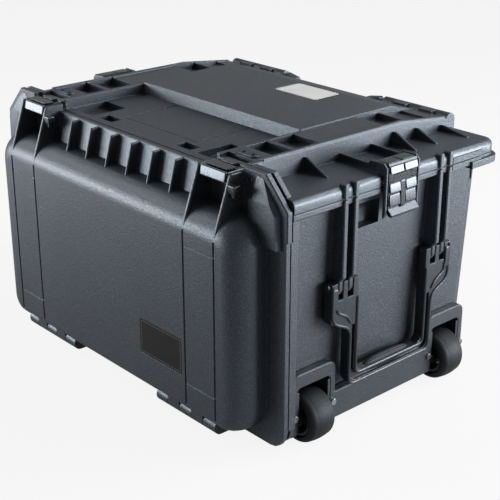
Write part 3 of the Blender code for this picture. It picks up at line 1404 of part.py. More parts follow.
def make_carrier():
    """The moulding that carries both wheels: two arches, their cheeks and the skirt between."""
    a, b = WHEEL_FRONT, WHEEL_BACK
    arch = (ARCH_TOP, ARCH_CORNER)
    corners = [(a - ARCH_HALF, SKIRT_BOTTOM), (a - ARCH_HALF, *arch), (a + ARCH_HALF, *arch)]
    corners += [(a + ARCH_HALF, SKIRT_TOP), (b - ARCH_HALF, SKIRT_TOP), (b - ARCH_HALF, *arch)]
    corners += [(b + ARCH_HALF, *arch), (b + ARCH_HALF, SKIRT_BOTTOM)]
    for middle in (b, a):
        near, far = middle + OPENING_HALF, middle - OPENING_HALF
        corners += [(near, SKIRT_BOTTOM), (near, OPENING_TOP, OPENING_CORNER)]
        corners += [(far, OPENING_TOP, OPENING_CORNER), (far, SKIRT_BOTTOM)]
    back = CARRIER_X - CARRIER_THICK
    carrier = plate("wheel_carrier", "X", (back, CARRIER_X), rounded(corners), EDGE)
    cheeks, bores, holes = [], [], []
    for middle in (a, b):
        for sign in (1, -1):
            y = [middle + sign * CHEEK_INNER, middle + sign * CHEEK_OUTER]
            x = (WHEEL_X - CHEEK_BACK, CARRIER_X - 2 * STEP)
            cheeks.append(box("cheek", x, y, (SKIRT_BOTTOM + 2 * STEP, OPENING_TOP - OPENING_CORNER)))
        ends = [(WHEEL_X, middle + sign * (CHEEK_OUTER + WALL), WHEEL_RADIUS) for sign in (-1, 1)]
        bores.append(rod("bore", "Y", ends, AXLE + FIT))
    for middle, sign in screw_places():
        y = middle + sign * (OPENING_HALF + ARCH_HALF) / 2
        ends = ((CARRIER_X - SCREW_DEPTH - FIT, y, SCREW_LEVEL), (CARRIER_X + WALL, y, SCREW_LEVEL))
        holes.append(rod("hole", "X", ends, SCREW_SHANK + FIT, 12))
    fuse(carrier, gather("cheeks", cheeks))
    cut(carrier, gather("axle_bores", bores), gather("screw_holes", holes))
    keep(carrier, SHELL)


def screw_places():
    """Each carrier screw as its wheel's middle and the side of the wheel that it is on."""
    return [(middle, sign) for middle in (WHEEL_FRONT, WHEEL_BACK) for sign in (-1, 1)]


def make_carrier_screws():
    """The round-headed screws on the carrier's legs."""
    for number, (middle, sign) in enumerate(screw_places(), 1):
        y = middle + sign * (OPENING_HALF + ARCH_HALF) / 2
        ends = ((CARRIER_X - SCREW_DEPTH, y, SCREW_LEVEL), (CARRIER_X + FIT, y, SCREW_LEVEL))
        screw = rod(f"carrier_screw_{number}", "X", ends, SCREW_SHANK, 12, (SCREW_HEAD, SCREW_HEAD_HEIGHT))
        keep(screw, STEEL, smooth=True)


def turned(name, profile):
    """A profile of (radius, along) turned about the wheel's own axis with a Screw modifier, made a mesh."""
    bm = bmesh.new()
    verts = [bm.verts.new((radius, 0.0, along)) for radius, along in profile]
    for i, vert in enumerate(verts):
        bm.edges.new((vert, verts[(i + 1) % len(verts)]))
    mesh = bpy.data.meshes.new(name)
    bm.to_mesh(mesh)
    bm.free()
    spun = bpy.data.objects.new(name, mesh)
    CUTTERS.objects.link(spun)
    screw = spun.modifiers.new("turn", "SCREW")
    screw.steps = WHEEL_STEPS
    screw.render_steps = WHEEL_STEPS
    screw.merge_threshold = MERGE
    screw.use_merge_vertices = True
    graph = bpy.context.evaluated_depsgraph_get()
    whole = bpy.data.meshes.new_from_object(spun.evaluated_get(graph))
    bpy.data.objects.remove(spun)
    bpy.data.meshes.remove(mesh)
    bm = bmesh.new()
    bm.from_mesh(whole)
    bpy.data.meshes.remove(whole)
    bmesh.ops.remove_doubles(bm, verts=bm.verts, dist=MERGE)
    bmesh.ops.transform(bm, matrix=Matrix.Rotation(math.pi / 2, 4, "X"), verts=bm.verts)
    return bm


def make_wheel(place, middle):
    """One wheel: tyre, hub and axle."""
    axis = axis_empty(f"wheel_axis_{place}", (WHEEL_X, middle, WHEEL_RADIUS))
    shift = (WHEEL_X, middle, WHEEL_RADIUS)
    half = WHEEL_WIDTH / 2
    inner = WHEEL_RADIUS - TYRE_DEPTH
    crown = arc((WHEEL_RADIUS - TYRE_SHOULDER, half - TYRE_SHOULDER), TYRE_SHOULDER, 90, 0, 4)
    rest = [(r, -a) for r, a in reversed(crown)]
    bm = turned(f"tyre_{place}", [(inner, half - TYRE_BEAD), *crown, *rest, (inner, -half + TYRE_BEAD)])
    bmesh.ops.translate(bm, vec=shift, verts=bm.verts)
    keep(solid(f"tyre_{place}", bm), RUBBER, axis, True)

    bore, seat = AXLE + FIT, inner - FIT
    rim = half - HUB_SET
    boss = half - STEP
    web = HUB_WEB / 2
    right = [(bore, boss), (HUB_BOSS, boss), (HUB_BOSS, web)]
    right += [(seat - HUB_RIM, web), (seat - HUB_RIM, rim), (seat, rim)]
    bm = turned(f"wheel_hub_{place}", [*right, *((r, -a) for r, a in reversed(right))])
    bmesh.ops.translate(bm, vec=shift, verts=bm.verts)
    hub = solid(f"wheel_hub_{place}", bm)
    ring = (HUB_BOSS + seat - HUB_RIM) / 2
    windows = []
    for u, v in arc((WHEEL_X, WHEEL_RADIUS), ring, 0, 360 - 360 / HUB_WINDOWS, HUB_WINDOWS - 1):
        windows.append(rod("window", "Y", ((u, middle - half, v), (u, middle + half, v)), HUB_WINDOW, 10))
    cut(hub, gather(f"hub_windows_{place}", windows))
    keep(hub, HUB_GREY, axis, True)
    ends = [(WHEEL_X, middle + sign * (CHEEK_OUTER - FIT), WHEEL_RADIUS) for sign in (-1, 1)]
    keep(rod(f"wheel_axle_{place}", "Y", ends, AXLE), STEEL, smooth=True)


def make_lid_trim(parent):
    """The lid's seal, in the body's rim, and the bare label on the platform."""
    z = (BODY_TOP - GROOVE_DEPTH + FIT, BODY_TOP - GROOVE_DEPTH + FIT + SEAL_HEIGHT)
    keep(seal_path("lid_seal", z, SEAL_WIDTH, COVER_PLANE + SEAL_START + FIT), RUBBER)
    left, right, front, back = LABEL_BOX
    level = (PLATFORM - LABEL_RECESS + FIT, PLATFORM - LABEL_RECESS + FIT + LABEL_THICK)
    loop = rounded(rectangle((left, right), (front, back), LABEL_CORNER))
    keep(outline("lid_label", "Z", level, loop), LABEL_WHITE, parent)


for old in list(bpy.data.objects):
    bpy.data.objects.remove(old)

PARTS = collection(OBJECT)
CUTTERS = collection("cutters")

SHELL = finish("charcoal_shell", (0.055, 0.060, 0.070), 0.55)
HANDLE_BLACK = finish("black_handle", (0.040, 0.043, 0.048), 0.50)
LATCH_GREY = finish("grey_latch", (0.090, 0.095, 0.105), 0.40)
STEEL = finish("stainless", (0.55, 0.55, 0.56), 0.30, 1.0)
RUBBER = finish("black_rubber", (0.035, 0.037, 0.040), 0.75)
HUB_GREY = finish("dark_hub", (0.045, 0.048, 0.052), 0.55)
LABEL_DARK = finish("dark_plate", (0.030, 0.032, 0.036), 0.40)
LABEL_WHITE = finish("white_label", (0.80, 0.80, 0.80), 0.45)

make_body()
make_carrier()
make_carrier_screws()
make_wheel("front", WHEEL_FRONT)
make_wheel("back", WHEEL_BACK)
lid_axis = axis_empty("lid_axis", (0.0, *LID_HINGE))
cover_axis = axis_empty("cover_axis", (0.0, *COVER_HINGE))
make_lid(lid_axis)
make_cover(cover_axis)
make_lid_trim(lid_axis)
make_hinge_pins()
for end, end_name in ((1, "right"), (-1, "left")):
    make_front_latch(end, end_name, lid_axis)
    make_end_latch(end, end_name, lid_axis)
    make_handle(end, end_name)
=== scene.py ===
"""Looks of a wheeled hard equipment case: finishes, fine pieces, floor, light and camera.

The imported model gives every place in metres: X along the long side towards the wheels, -Y towards
the front cover, Z up from the floor.
"""

import json
import logging
import math
from dataclasses import dataclass, field
from enum import Enum
from typing import Optional, Sequence

import bmesh
import bpy
import numpy as np
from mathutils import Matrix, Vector

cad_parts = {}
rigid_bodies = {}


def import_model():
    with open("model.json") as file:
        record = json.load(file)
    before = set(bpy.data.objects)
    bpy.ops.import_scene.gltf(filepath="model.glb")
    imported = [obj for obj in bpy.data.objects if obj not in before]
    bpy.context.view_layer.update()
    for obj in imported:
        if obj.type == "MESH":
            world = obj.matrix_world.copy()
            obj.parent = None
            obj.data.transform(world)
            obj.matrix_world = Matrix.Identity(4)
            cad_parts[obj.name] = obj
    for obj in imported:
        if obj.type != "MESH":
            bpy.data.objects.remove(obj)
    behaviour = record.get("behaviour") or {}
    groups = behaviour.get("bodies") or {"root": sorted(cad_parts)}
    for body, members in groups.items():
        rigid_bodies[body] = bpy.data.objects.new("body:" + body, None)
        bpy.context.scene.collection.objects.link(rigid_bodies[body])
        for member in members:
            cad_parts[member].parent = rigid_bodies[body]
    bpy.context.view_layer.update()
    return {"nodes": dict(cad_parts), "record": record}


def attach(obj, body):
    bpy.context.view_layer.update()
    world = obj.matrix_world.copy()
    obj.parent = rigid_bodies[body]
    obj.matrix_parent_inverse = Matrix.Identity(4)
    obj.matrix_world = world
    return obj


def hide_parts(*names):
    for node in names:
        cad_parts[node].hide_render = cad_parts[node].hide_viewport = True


LOG = logging.getLogger("case")

# Two points nearer than this, in metres, are one.
MERGE = 1e-5

# Points in an eased corner, round a bead, round a block and round a turned piece.
CORNER_POINTS = 7
BEAD_POINTS = 14
BLOCK_POINTS = 28
TURN_POINTS = 96

# Angles in degrees past which an edge stays sharp: on copies of the CAD, on new pieces, on flat facets.
COPY_SHARP = 32.0
PIECE_SHARP = 40.0
FACET_SHARP = 20.0

Colour = tuple[float, float, float]
Place = tuple[float, float, float]
Span = tuple[float, float]
Outline = tuple[Span, ...]
Socket = bpy.types.NodeSocket


class End(Enum):
    """The two ends of the case, by the sign of X; the right one has the wheels."""

    RIGHT = 1
    LEFT = -1

    @property
    def word(self) -> str:
        """The end's word in the names of pieces."""
        return self.name.lower()

    @property
    def letter(self) -> str:
        """The end's letter in the names of bodies."""
        return self.word[0]


class Tree:
    """A material's node tree, filled by short calls."""

    def __init__(self, name: str) -> None:
        """Starts an empty tree.

        Args:
            name: The material's name.
        """
        self.material = bpy.data.materials.new(name)
        self.material.use_nodes = True
        self.nodes = self.material.node_tree.nodes
        self.links = self.material.node_tree.links
        self.nodes.clear()

    def add(self, kind: str, settings: Optional[dict] = None, **inputs: object) -> bpy.types.Node:
        """Adds a node.

        Args:
            kind: The node's type name.
            settings: Properties of the node itself.
            **inputs: Values or sockets by input name with underscores for spaces, or by i and a number.

        Returns:
            The new node.
        """
        node = self.nodes.new(kind)
        for key, value in (settings or {}).items():
            setattr(node, key, value)
        for key, value in inputs.items():
            numbered = key[0] == "i" and key[1:].isdigit()
            socket = node.inputs[int(key[1:]) if numbered else key.replace("_", " ")]
            if isinstance(value, Socket):
                self.links.new(value, socket)
            else:
                socket.default_value = value
        return node

    def place(self) -> Socket:
        """The point in the part's own frame."""
        return self.add("ShaderNodeTexCoord").outputs["Object"]

    def noise(self, coordinate: Socket, scale: float, detail: float) -> Socket:
        """Adds a noise field, read at a coordinate with a number of waves per metre and finer layers."""
        return self.add("ShaderNodeTexNoise", Vector=coordinate, Scale=scale, Detail=detail).outputs["Fac"]

    def math(self, operation: str, first: object, second: object = 0.0) -> Socket:
        """Adds a sum, product or comparison of two values or sockets, by Blender's name for it."""
        return self.add("ShaderNodeMath", {"operation": operation}, i0=first, i1=second).outputs[0]

    def spread(self, value: Socket, low: float, high: float, start: float = 0.3, stop: float = 0.7) -> Socket:
        """Maps a value linearly, with low at start and high at stop, and holds it between them."""
        ends = {"From_Min": start, "From_Max": stop, "To_Min": low, "To_Max": high}
        return self.add("ShaderNodeMapRange", None, Value=value, **ends).outputs["Result"]

    def mix(self, share: Socket, first: object, second: object) -> Socket:
        """Mixes two colours.

        Args:
            share: How much of the second.
            first: Colour or socket.
            second: Colour or socket.

        Returns:
            The mixed colour.
        """
        node = self.add("ShaderNodeMix", {"data_type": "RGBA"}, i0=share)
        for index, value in ((6, first), (7, second)):
            if isinstance(value, Socket):
                self.links.new(value, node.inputs[index])
            else:
                node.inputs[index].default_value = (*value, 1.0)
        return node.outputs[2]

    def close(self, shader: bpy.types.Node) -> bpy.types.Material:
        """Links the last shader to the output and returns the finished material."""
        self.add("ShaderNodeOutputMaterial", None, Surface=shader.outputs[0])
        return self.material


def scaled(colour: Colour, factor: float) -> Colour:
    """A colour made lighter or darker by a factor."""
    return tuple(min(1.0, channel * factor) for channel in colour)


@dataclass(frozen=True)
class Border:
    """A thin printed line that follows the edge of a plate.

    Attributes:
        middle_x: The plate's middle along X.
        half_x: Half length of the line's frame along X.
        axis: The plate's second axis.
        middle: The plate's middle along the second axis.
        half: Half length of the line's frame along the second axis.
        line: Half width of the line.
        shade: The line's colour as a multiple of the plate's.
    """

    middle_x: float
    half_x: float
    axis: str
    middle: float
    half: float
    line: float
    shade: float

    def drawn(self, tree: Tree, place: Socket, colour: Socket, plate: Colour) -> Socket:
        """Draws the line over a colour.

        The line lies where the larger of the two distances past the half lengths is near zero.

        Args:
            tree: The material's tree.
            place: The point in the part's frame.
            colour: The colour so far.
            plate: The plate's plain colour.

        Returns:
            The colour with the line.
        """
        parts = tree.add("ShaderNodeSeparateXYZ", None, Vector=place)
        across = tree.math("ABSOLUTE", tree.math("SUBTRACT", parts.outputs["X"], self.middle_x))
        along = tree.math("ABSOLUTE", tree.math("SUBTRACT", parts.outputs[self.axis], self.middle))
        past_x = tree.math("SUBTRACT", across, self.half_x)
        past = tree.math("SUBTRACT", along, self.half)
        inside = tree.math("LESS_THAN", tree.math("ABSOLUTE", tree.math("MAXIMUM", past_x, past)), self.line)
        return tree.mix(inside, colour, scaled(plate, self.shade))


@dataclass(frozen=True)
class Moulded:
    """A moulded or turned surface: broad shade, pebbled grain, flecks, edges paler for wear and a painted
    highlight.

    Attributes:
        name: Material name.
        slot: The record's slot that it belongs to; not used.
        colour: Linear colour.
        roughness: Middle roughness.
        grain: Grains per metre.
        depth: Height of the grain in metres.
        edge: Radius that sharp edges are softened to.
        rub: Colour of the edges, paler for wear and a painted highlight, as a multiple of the plain colour.
        metallic: Metal share.
        gloss: Specular level.
        tint: Colour of the gloss; the default blue is a painted reflection of cool light.
        fleck: Colour of the flecks as a multiple of the plain colour.
        border: Printed line round a plate.
        patches: Broad patches of shade per metre.
        specks: Specks of wear per metre.
    """

    name: str
    slot: str
    colour: Colour
    roughness: float
    grain: float = 620.0
    depth: float = 0.00042
    edge: float = 0.0011
    rub: float = 3.2
    metallic: float = 0.0
    gloss: float = 0.75
    # Painted reflection: the default tints the gloss blue for the cool light it would mirror.
    tint: Colour = (0.72, 0.85, 1.0)
    fleck: float = 2.0
    border: Optional[Border] = None
    patches: float = 9.0
    specks: float = 420.0

    def worn(self, tree: Tree, soft: Socket, speck: Socket) -> Socket:
        """How far a point is paler, for wear and a painted edge highlight: more where the softened normal
        leaves the face's own, in patches.

        Args:
            tree: The material's tree.
            soft: The normal softened at edges.
            speck: Noise that breaks the wear up.

        Returns:
            The share of wear and painted highlight.
        """
        face = tree.add("ShaderNodeNewGeometry").outputs["Normal"]
        turn = tree.add("ShaderNodeVectorMath", {"operation": "DOT_PRODUCT"}, i0=soft, i1=face)
        edges = tree.spread(turn.outputs["Value"], 0.85, 0.0, 0.80, 0.99)
        return tree.math("MULTIPLY", edges, tree.spread(speck, 0.45, 1.0, 0.35, 0.6))

    def shaded(self, tree: Tree, place: Socket, fine: Socket, worn: Socket) -> Socket:
        """The colour: broad patches, then flecks, then edges paler for wear and a painted highlight, then the
        printed line.

        Args:
            tree: The material's tree.
            place: The point in the part's frame.
            fine: The grain's noise.
            worn: The share of wear and painted highlight.

        Returns:
            The colour.
        """
        broad = tree.noise(place, self.patches, 4.0)
        shade = tree.mix(tree.spread(broad, 0.0, 1.0), scaled(self.colour, 0.80), scaled(self.colour, 1.20))
        flecks = tree.spread(fine, 0.0, 0.8, 0.53, 0.66)
        colour = tree.mix(flecks, shade, scaled(self.colour, self.fleck))
        # Edges paler: partly wear, partly a painted highlight where light would catch the edges.
        colour = tree.mix(worn, colour, scaled(self.colour, self.rub))
        return self.border.drawn(tree, place, colour, self.colour) if self.border else colour

    def material(self) -> bpy.types.Material:
        """Builds the surface once.

        Returns:
            The material.
        """
        known = bpy.data.materials.get(self.name)
        if known:
            return known
        tree = Tree(self.name)
        place = tree.place()
        fine = tree.noise(place, self.grain, 3.0)
        speck = tree.noise(place, self.specks, 3.0)
        smooth = {"feature": "SMOOTH_F1"}
        pebble = tree.add("ShaderNodeTexVoronoi", smooth, Vector=place, Scale=self.grain * 0.7)
        height = tree.math("ADD", fine, tree.math("MULTIPLY", pebble.outputs["Distance"], 0.6))
        soft = tree.add("ShaderNodeBevel", {"samples": 4}, Radius=self.edge).outputs[0]
        bump = tree.add(
            "ShaderNodeBump", None, Strength=0.6, Distance=self.depth, Height=height, Normal=soft
        )
        shader = tree.add(
            "ShaderNodeBsdfPrincipled",
            None,
            Base_Color=self.shaded(tree, place, fine, self.worn(tree, soft, speck)),
            Roughness=tree.spread(speck, self.roughness - 0.06, self.roughness + 0.08),
            Metallic=self.metallic,
            Specular_IOR_Level=self.gloss,
            Specular_Tint=(*self.tint, 1.0),
            Normal=bump.outputs[0],
        )
        return tree.close(shader)


WHITE = (1.0, 1.0, 1.0)

# Grains per metre on smooth mouldings and on steel.
FINE_GRAIN = 900.0
STEEL_GRAIN = 2600.0

PLATE_BORDER = Border(
    middle_x=0.11975, half_x=0.0420, axis="Z", middle=0.10825, half=0.0230, line=0.0005, shade=14.0
)
LABEL_BORDER = Border(
    middle_x=0.03525, half_x=0.0400, axis="Y", middle=0.12325, half=0.0235, line=0.0004, shade=0.62
)


class Look(Enum):
    """The finishes of this case."""

    # Each finish's edges are painted paler, partly as wear and partly as a painted highlight; the shell's
    # most of all.
    SHELL = Moulded("shell_plastic", "shell", (0.0135, 0.0155, 0.0195), 0.42, rub=4.6, fleck=4.6)
    # A darker copy of the shell plastic for the wheel carrier: its extra darkness is painted shade, low under
    # the case.
    CARRIER = Moulded("carrier_plastic", "shell", (0.0115, 0.0130, 0.0160), 0.42, gloss=0.60, fleck=3.6)
    HANDLE = Moulded(
        "handle_plastic", "handle", (0.0100, 0.0110, 0.0125), 0.34, FINE_GRAIN, 0.00016, gloss=0.55
    )
    LATCH = Moulded(
        "latch_plastic",
        "latch",
        (0.0105, 0.0112, 0.0125),
        0.22,
        FINE_GRAIN,
        depth=0.00004,
        edge=0.0004,
        rub=2.0,
        gloss=0.55,
        fleck=1.3,
    )
    STEEL = Moulded(
        "stainless_steel",
        "steel",
        (0.30, 0.30, 0.31),
        0.28,
        STEEL_GRAIN,
        depth=0.00002,
        edge=0.0005,
        rub=1.2,
        metallic=1.0,
    )
    # Blackened steel for the pins; on the stainless padlock plates this darkness is a painted dark
    # reflection.
    DARK_STEEL = Moulded(
        "blackened_steel",
        "steel",
        (0.08, 0.08, 0.09),
        0.36,
        STEEL_GRAIN,
        depth=0.00002,
        edge=0.0005,
        rub=1.8,
        metallic=1.0,
    )
    TYRE = Moulded(
        "tyre_rubber", "tyre", (0.0075, 0.0078, 0.0085), 0.56, FINE_GRAIN, 0.00012, rub=2.0, gloss=0.22
    )
    HUB = Moulded("hub_plastic", "hub", (0.0110, 0.0118, 0.0130), 0.40)
    SEAL = Moulded("seal_rubber", "seal", (0.010, 0.0105, 0.011), 0.7, gloss=0.3)
    PLATE = Moulded(
        "bare_plate",
        "plate",
        (0.0050, 0.0052, 0.0058),
        0.45,
        FINE_GRAIN,
        depth=0.00002,
        edge=0.0005,
        rub=2.0,
        gloss=0.22,
        tint=WHITE,
        fleck=1.2,
        border=PLATE_BORDER,
    )
    LABEL = Moulded(
        "bare_label",
        "label",
        (0.78, 0.78, 0.77),
        0.42,
        FINE_GRAIN,
        depth=0.00002,
        edge=0.0004,
        rub=1.0,
        gloss=0.5,
        tint=WHITE,
        fleck=1.02,
        border=LABEL_BORDER,
    )


def put_finish(piece: bpy.types.Object, look: Look) -> None:
    """Gives a piece one of the finishes and no other."""
    piece.data.materials.clear()
    piece.data.materials.append(look.value.material())


def shown(name: str, mesh: bpy.types.Mesh, sharp: float) -> bpy.types.Object:
    """Puts a mesh in the scene, smooth up to an angle.

    Args:
        name: The piece's name.
        mesh: Its mesh.
        sharp: Angle in degrees past which an edge stays sharp.

    Returns:
        The piece.
    """
    mesh.shade_smooth()
    mesh.set_sharp_from_angle(angle=math.radians(sharp))
    piece = bpy.data.objects.new(name, mesh)
    bpy.context.scene.collection.objects.link(piece)
    return piece


def seat(piece: bpy.types.Object, body: str, look: Look) -> None:
    """Dresses a new piece and lets it ride on a body.

    Args:
        piece: The piece.
        body: The body that carries it.
        look: Its finish.
    """
    put_finish(piece, look)
    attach(piece, body)
    LOG.info("piece %s on %s", piece.name, body)


def skin(
    name: str, grids: Sequence[np.ndarray], around: bool = False, sharp: float = PIECE_SHARP
) -> bpy.types.Object:
    """Closes one or more grids of points into a mesh.

    Rows follow the path and columns go round the section. The columns always close on themselves. The
    rows close on themselves where asked, and otherwise the first and last rows are filled.

    Args:
        name: The piece's name.
        grids: Arrays of shape (rows, columns, 3).
        around: Whether the last row joins the first.
        sharp: Angle in degrees past which an edge stays sharp.

    Returns:
        The piece, not riding on anything yet.
    """
    points, faces, start = [], [], 0
    for grid in grids:
        rows, columns = grid.shape[:2]
        index = start + np.arange(rows * columns).reshape(rows, columns)
        ring = np.vstack([index, index[:1]]) if around else index
        ring = np.hstack([ring, ring[:, :1]])
        quads = np.stack([ring[:-1, :-1], ring[1:, :-1], ring[1:, 1:], ring[:-1, 1:]], -1)
        faces += quads.reshape(-1, 4).tolist()
        if not around:
            faces += [index[0, ::-1].tolist(), index[-1].tolist()]
        points.append(grid.reshape(-1, 3))
        start += rows * columns
    mesh = bpy.data.meshes.new(name)
    mesh.from_pydata(np.concatenate(points), [], faces)
    work = bmesh.new()
    work.from_mesh(mesh)
    bmesh.ops.remove_doubles(work, verts=work.verts, dist=MERGE)
    bmesh.ops.dissolve_degenerate(work, edges=work.edges, dist=MERGE)
    bmesh.ops.recalc_face_normals(work, faces=work.faces)
    work.to_mesh(mesh)
    work.free()
    return shown(name, mesh, sharp)


def eased(corners: Sequence[Sequence[float]], radius: float) -> np.ndarray:
    """An open path of straight runs whose corners are eased.

    Each corner is a quadratic curve from one point to another at the given distance before and after it, or
    at a little under half of a run that is short.

    Args:
        corners: Corner points, in any number of dimensions.
        radius: How far from a corner its curve starts.

    Returns:
        The path's points in order.
    """
    point = np.array(corners, float)
    runs = np.roll(point, 1, 0) - point, np.roll(point, -1, 0) - point
    lengths = [np.linalg.norm(run, axis=1, keepdims=True) for run in runs]
    first, last = (
        point + run / length * np.minimum(radius, length * 0.45) for run, length in zip(runs, lengths)
    )
    t = np.linspace(0.0, 1.0, CORNER_POINTS)[None, :, None]
    curve = (1 - t) ** 2 * first[:, None] + 2 * t * (1 - t) * point[:, None] + t**2 * last[:, None]
    return np.vstack([point[:1], curve[1:-1].reshape(-1, point.shape[1]), point[-1:]])


def swept(path: np.ndarray, section: np.ndarray, up: Sequence[float], around: bool = False) -> np.ndarray:
    """Carries a section along a path.

    Each point of the path gets the section's first coordinate along the cross product of the path's direction
    and the upward direction, and its second along the upward direction.

    Args:
        path: Points of shape (n, 3).
        section: Points of shape (m, 2).
        up: The upward direction, at right angles to the path.
        around: Whether the path closes.

    Returns:
        A grid of shape (n, m, 3).
    """
    ahead = np.roll(path, -1, 0) - np.roll(path, 1, 0) if around else np.gradient(path, axis=0)
    ahead /= np.linalg.norm(ahead, axis=1, keepdims=True)
    rise = np.array(up, float)
    side = np.cross(ahead, rise)
    side /= np.linalg.norm(side, axis=1, keepdims=True)
    return path[:, None] + side[:, None] * section[None, :, :1] + rise * section[None, :, 1:]


def oval(width: float, height: float, count: int = BEAD_POINTS) -> np.ndarray:
    """A closed oval section, as half width and half height times the cosine and sine of equal turns."""
    turn = np.linspace(0.0, 2 * np.pi, count, endpoint=False)
    return np.stack([width * np.cos(turn), height * np.sin(turn)], -1)


def block(low: Sequence[float], high: Sequence[float], square: float) -> np.ndarray:
    """A rounded block between two corners.

    A ball's sines and cosines are raised to a small power with their signs kept, which squares it off.

    Args:
        low: Lowest corner.
        high: Highest corner.
        square: The power; smaller is squarer.

    Returns:
        A grid of points.
    """
    rise = np.linspace(-np.pi / 2, np.pi / 2, BLOCK_POINTS // 2 + 1)[:, None]
    turn = np.linspace(0.0, 2 * np.pi, BLOCK_POINTS, endpoint=False)[None]
    waves = np.broadcast_arrays(np.cos(rise), np.cos(turn), np.sin(turn), np.sin(rise))
    girth, east, north, top = (np.sign(wave) * np.abs(wave) ** square for wave in waves)
    shape = np.stack([girth * east, girth * north, top], -1)
    lowest, highest = np.array(low), np.array(high)
    return (lowest + highest) / 2 + shape * (highest - lowest) / 2


def turned(profile: np.ndarray, middle: Place) -> np.ndarray:
    """Turns a section about an axis along Y.

    Each point of the section is a radius and a distance along Y, turned through equal steps.

    Args:
        profile: Points of shape (m, 2): radius and distance along Y.
        middle: The axis's place.

    Returns:
        A grid with a row for each step and a column for each point.
    """
    turn = np.linspace(0.0, 2 * np.pi, TURN_POINTS, endpoint=False)[:, None]
    radius, along = profile[None, :, 0], profile[None, :, 1]
    x, z = radius * np.cos(turn), radius * np.sin(turn)
    return np.stack([x, np.broadcast_to(along, x.shape), z], -1) + np.array(middle)


def welded_copy(node: str, name: str) -> bpy.types.Object:
    """Copies a CAD node with its points merged and its curved faces shaded smooth.

    Points that agree to a hundredth of a millimetre become one, found by sorting whole rows.

    Args:
        node: The CAD node.
        name: The new piece's name.

    Returns:
        The new piece, not riding on anything yet.
    """
    source = bpy.data.objects[node].data
    points = np.empty(len(source.vertices) * 3)
    source.vertices.foreach_get("co", points)
    corners = np.empty(len(source.loops), np.int64)
    source.loops.foreach_get("vertex_index", corners)
    rows = np.round(points.reshape(-1, 3) / MERGE).astype(np.int64)
    _, first, merged = np.unique(rows, axis=0, return_index=True, return_inverse=True)
    faces = merged.reshape(-1)[corners].reshape(-1, 3)
    whole = np.all(faces != np.roll(faces, 1, 1), axis=1)
    mesh = bpy.data.meshes.new(name)
    mesh.from_pydata(points.reshape(-1, 3)[first], [], faces[whole])
    mesh.update()
    piece = shown(name, mesh, COPY_SHARP)
    even = piece.modifiers.new("even_shading", "WEIGHTED_NORMAL")
    even.keep_sharp = True
    even.weight = 80
    return piece


@dataclass
class Mouldings:
    """The large mouldings, shown as smooth copies of their CAD solids.

    Attributes:
        pieces: CAD node, the body that it belongs to, and its finish.
    """

    pieces: tuple[tuple[str, str, Look], ...] = (
        ("body_shell", "body", Look.SHELL),
        ("lid_shell", "lid", Look.SHELL),
        ("front_cover", "cover", Look.SHELL),
        ("wheel_carrier", "body", Look.CARRIER),
        ("handle_right", "handle_r", Look.HANDLE),
        ("handle_left", "handle_l", Look.HANDLE),
        ("wheel_hub_front", "wheel_f", Look.HUB),
        ("wheel_hub_back", "wheel_b", Look.HUB),
        ("front_latch_right", "front_latch_r", Look.LATCH),
        ("front_latch_left", "front_latch_l", Look.LATCH),
        ("end_latch_link_right", "end_link_r", Look.LATCH),
        ("end_latch_link_left", "end_link_l", Look.LATCH),
        ("end_latch_lever_right", "end_lever_r", Look.LATCH),
        ("end_latch_lever_left", "end_lever_l", Look.LATCH),
    )

    def build(self) -> None:
        """Copies, dresses and seats each moulding."""
        for node, body, look in self.pieces:
            piece = welded_copy(node, f"{node}_skin")
            seat(piece, body, look)
            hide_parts(node)


@dataclass
class Tyres:
    """The two tyres, turned finely, with a crowned tread and a fine line near each shoulder.

    Attributes:
        middles: Node, body and place along Y of each tyre.
        axle_x: The axles' place along X.
        axle_z: The axles' level.
        radius: Outer radius.
        width: Width of a tyre.
        bore: Inner radius.
        tread: Share of the width that the tread takes up.
        crown: How far the tread falls from its middle to its edges.
        shoulder: How far the shoulder falls from the tread's edge to the side.
        chamfer: Chamfer of the bore.
        line_place: Place of a fine line, as a share of the half width.
        line_width: Width of a fine line, as such a share.
        line_depth: Depth of a fine line.
    """

    middles: tuple[tuple[str, str, float], ...] = (
        ("tyre_front", "wheel_f", -0.1165),
        ("tyre_back", "wheel_b", 0.1465),
    )
    axle_x: float = 0.289
    axle_z: float = 0.0358
    radius: float = 0.0357
    width: float = 0.0444
    bore: float = 0.0245
    tread: float = 0.60
    crown: float = 0.0012
    shoulder: float = 0.0095
    chamfer: float = 0.0015
    line_place: float = 0.50
    line_width: float = 0.012
    line_depth: float = 0.00025

    def section(self) -> np.ndarray:
        """The tyre's section: a rounded rectangle whose tread is crowned and scored by two fine lines.

        The crown is a parabola, a line is a narrow bell curve, and a shoulder is a quarter of an oval.

        Returns:
            Radius and distance along Y of each point.
        """
        side = self.width / 2
        across = np.linspace(-self.tread, self.tread, 49)
        line = np.exp(-(((np.abs(across) - self.line_place) / self.line_width) ** 2))
        top = self.radius - self.crown * (across / self.tread) ** 2 - self.line_depth * line
        turn = np.linspace(0.0, np.pi / 2, 9)[1:]
        shoulder_r = top[-1] - self.shoulder * (1 - np.cos(turn))
        shoulder_y = side * (self.tread + (1 - self.tread) * np.sin(turn))
        wall = np.array([[self.bore + self.chamfer, side], [self.bore, side - self.chamfer]])
        right = np.concatenate([np.stack([shoulder_r, shoulder_y], -1), wall])
        left = right[::-1] * [1, -1]
        return np.concatenate([left, np.stack([top, across * side], -1), right])

    def build(self) -> None:
        """Turns both tyres."""
        for node, body, middle in self.middles:
            grid = turned(self.section(), (self.axle_x, middle, self.axle_z))
            piece = skin(f"{node}_turned", [grid], True)
            seat(piece, body, Look.TYRE)
            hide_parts(node)


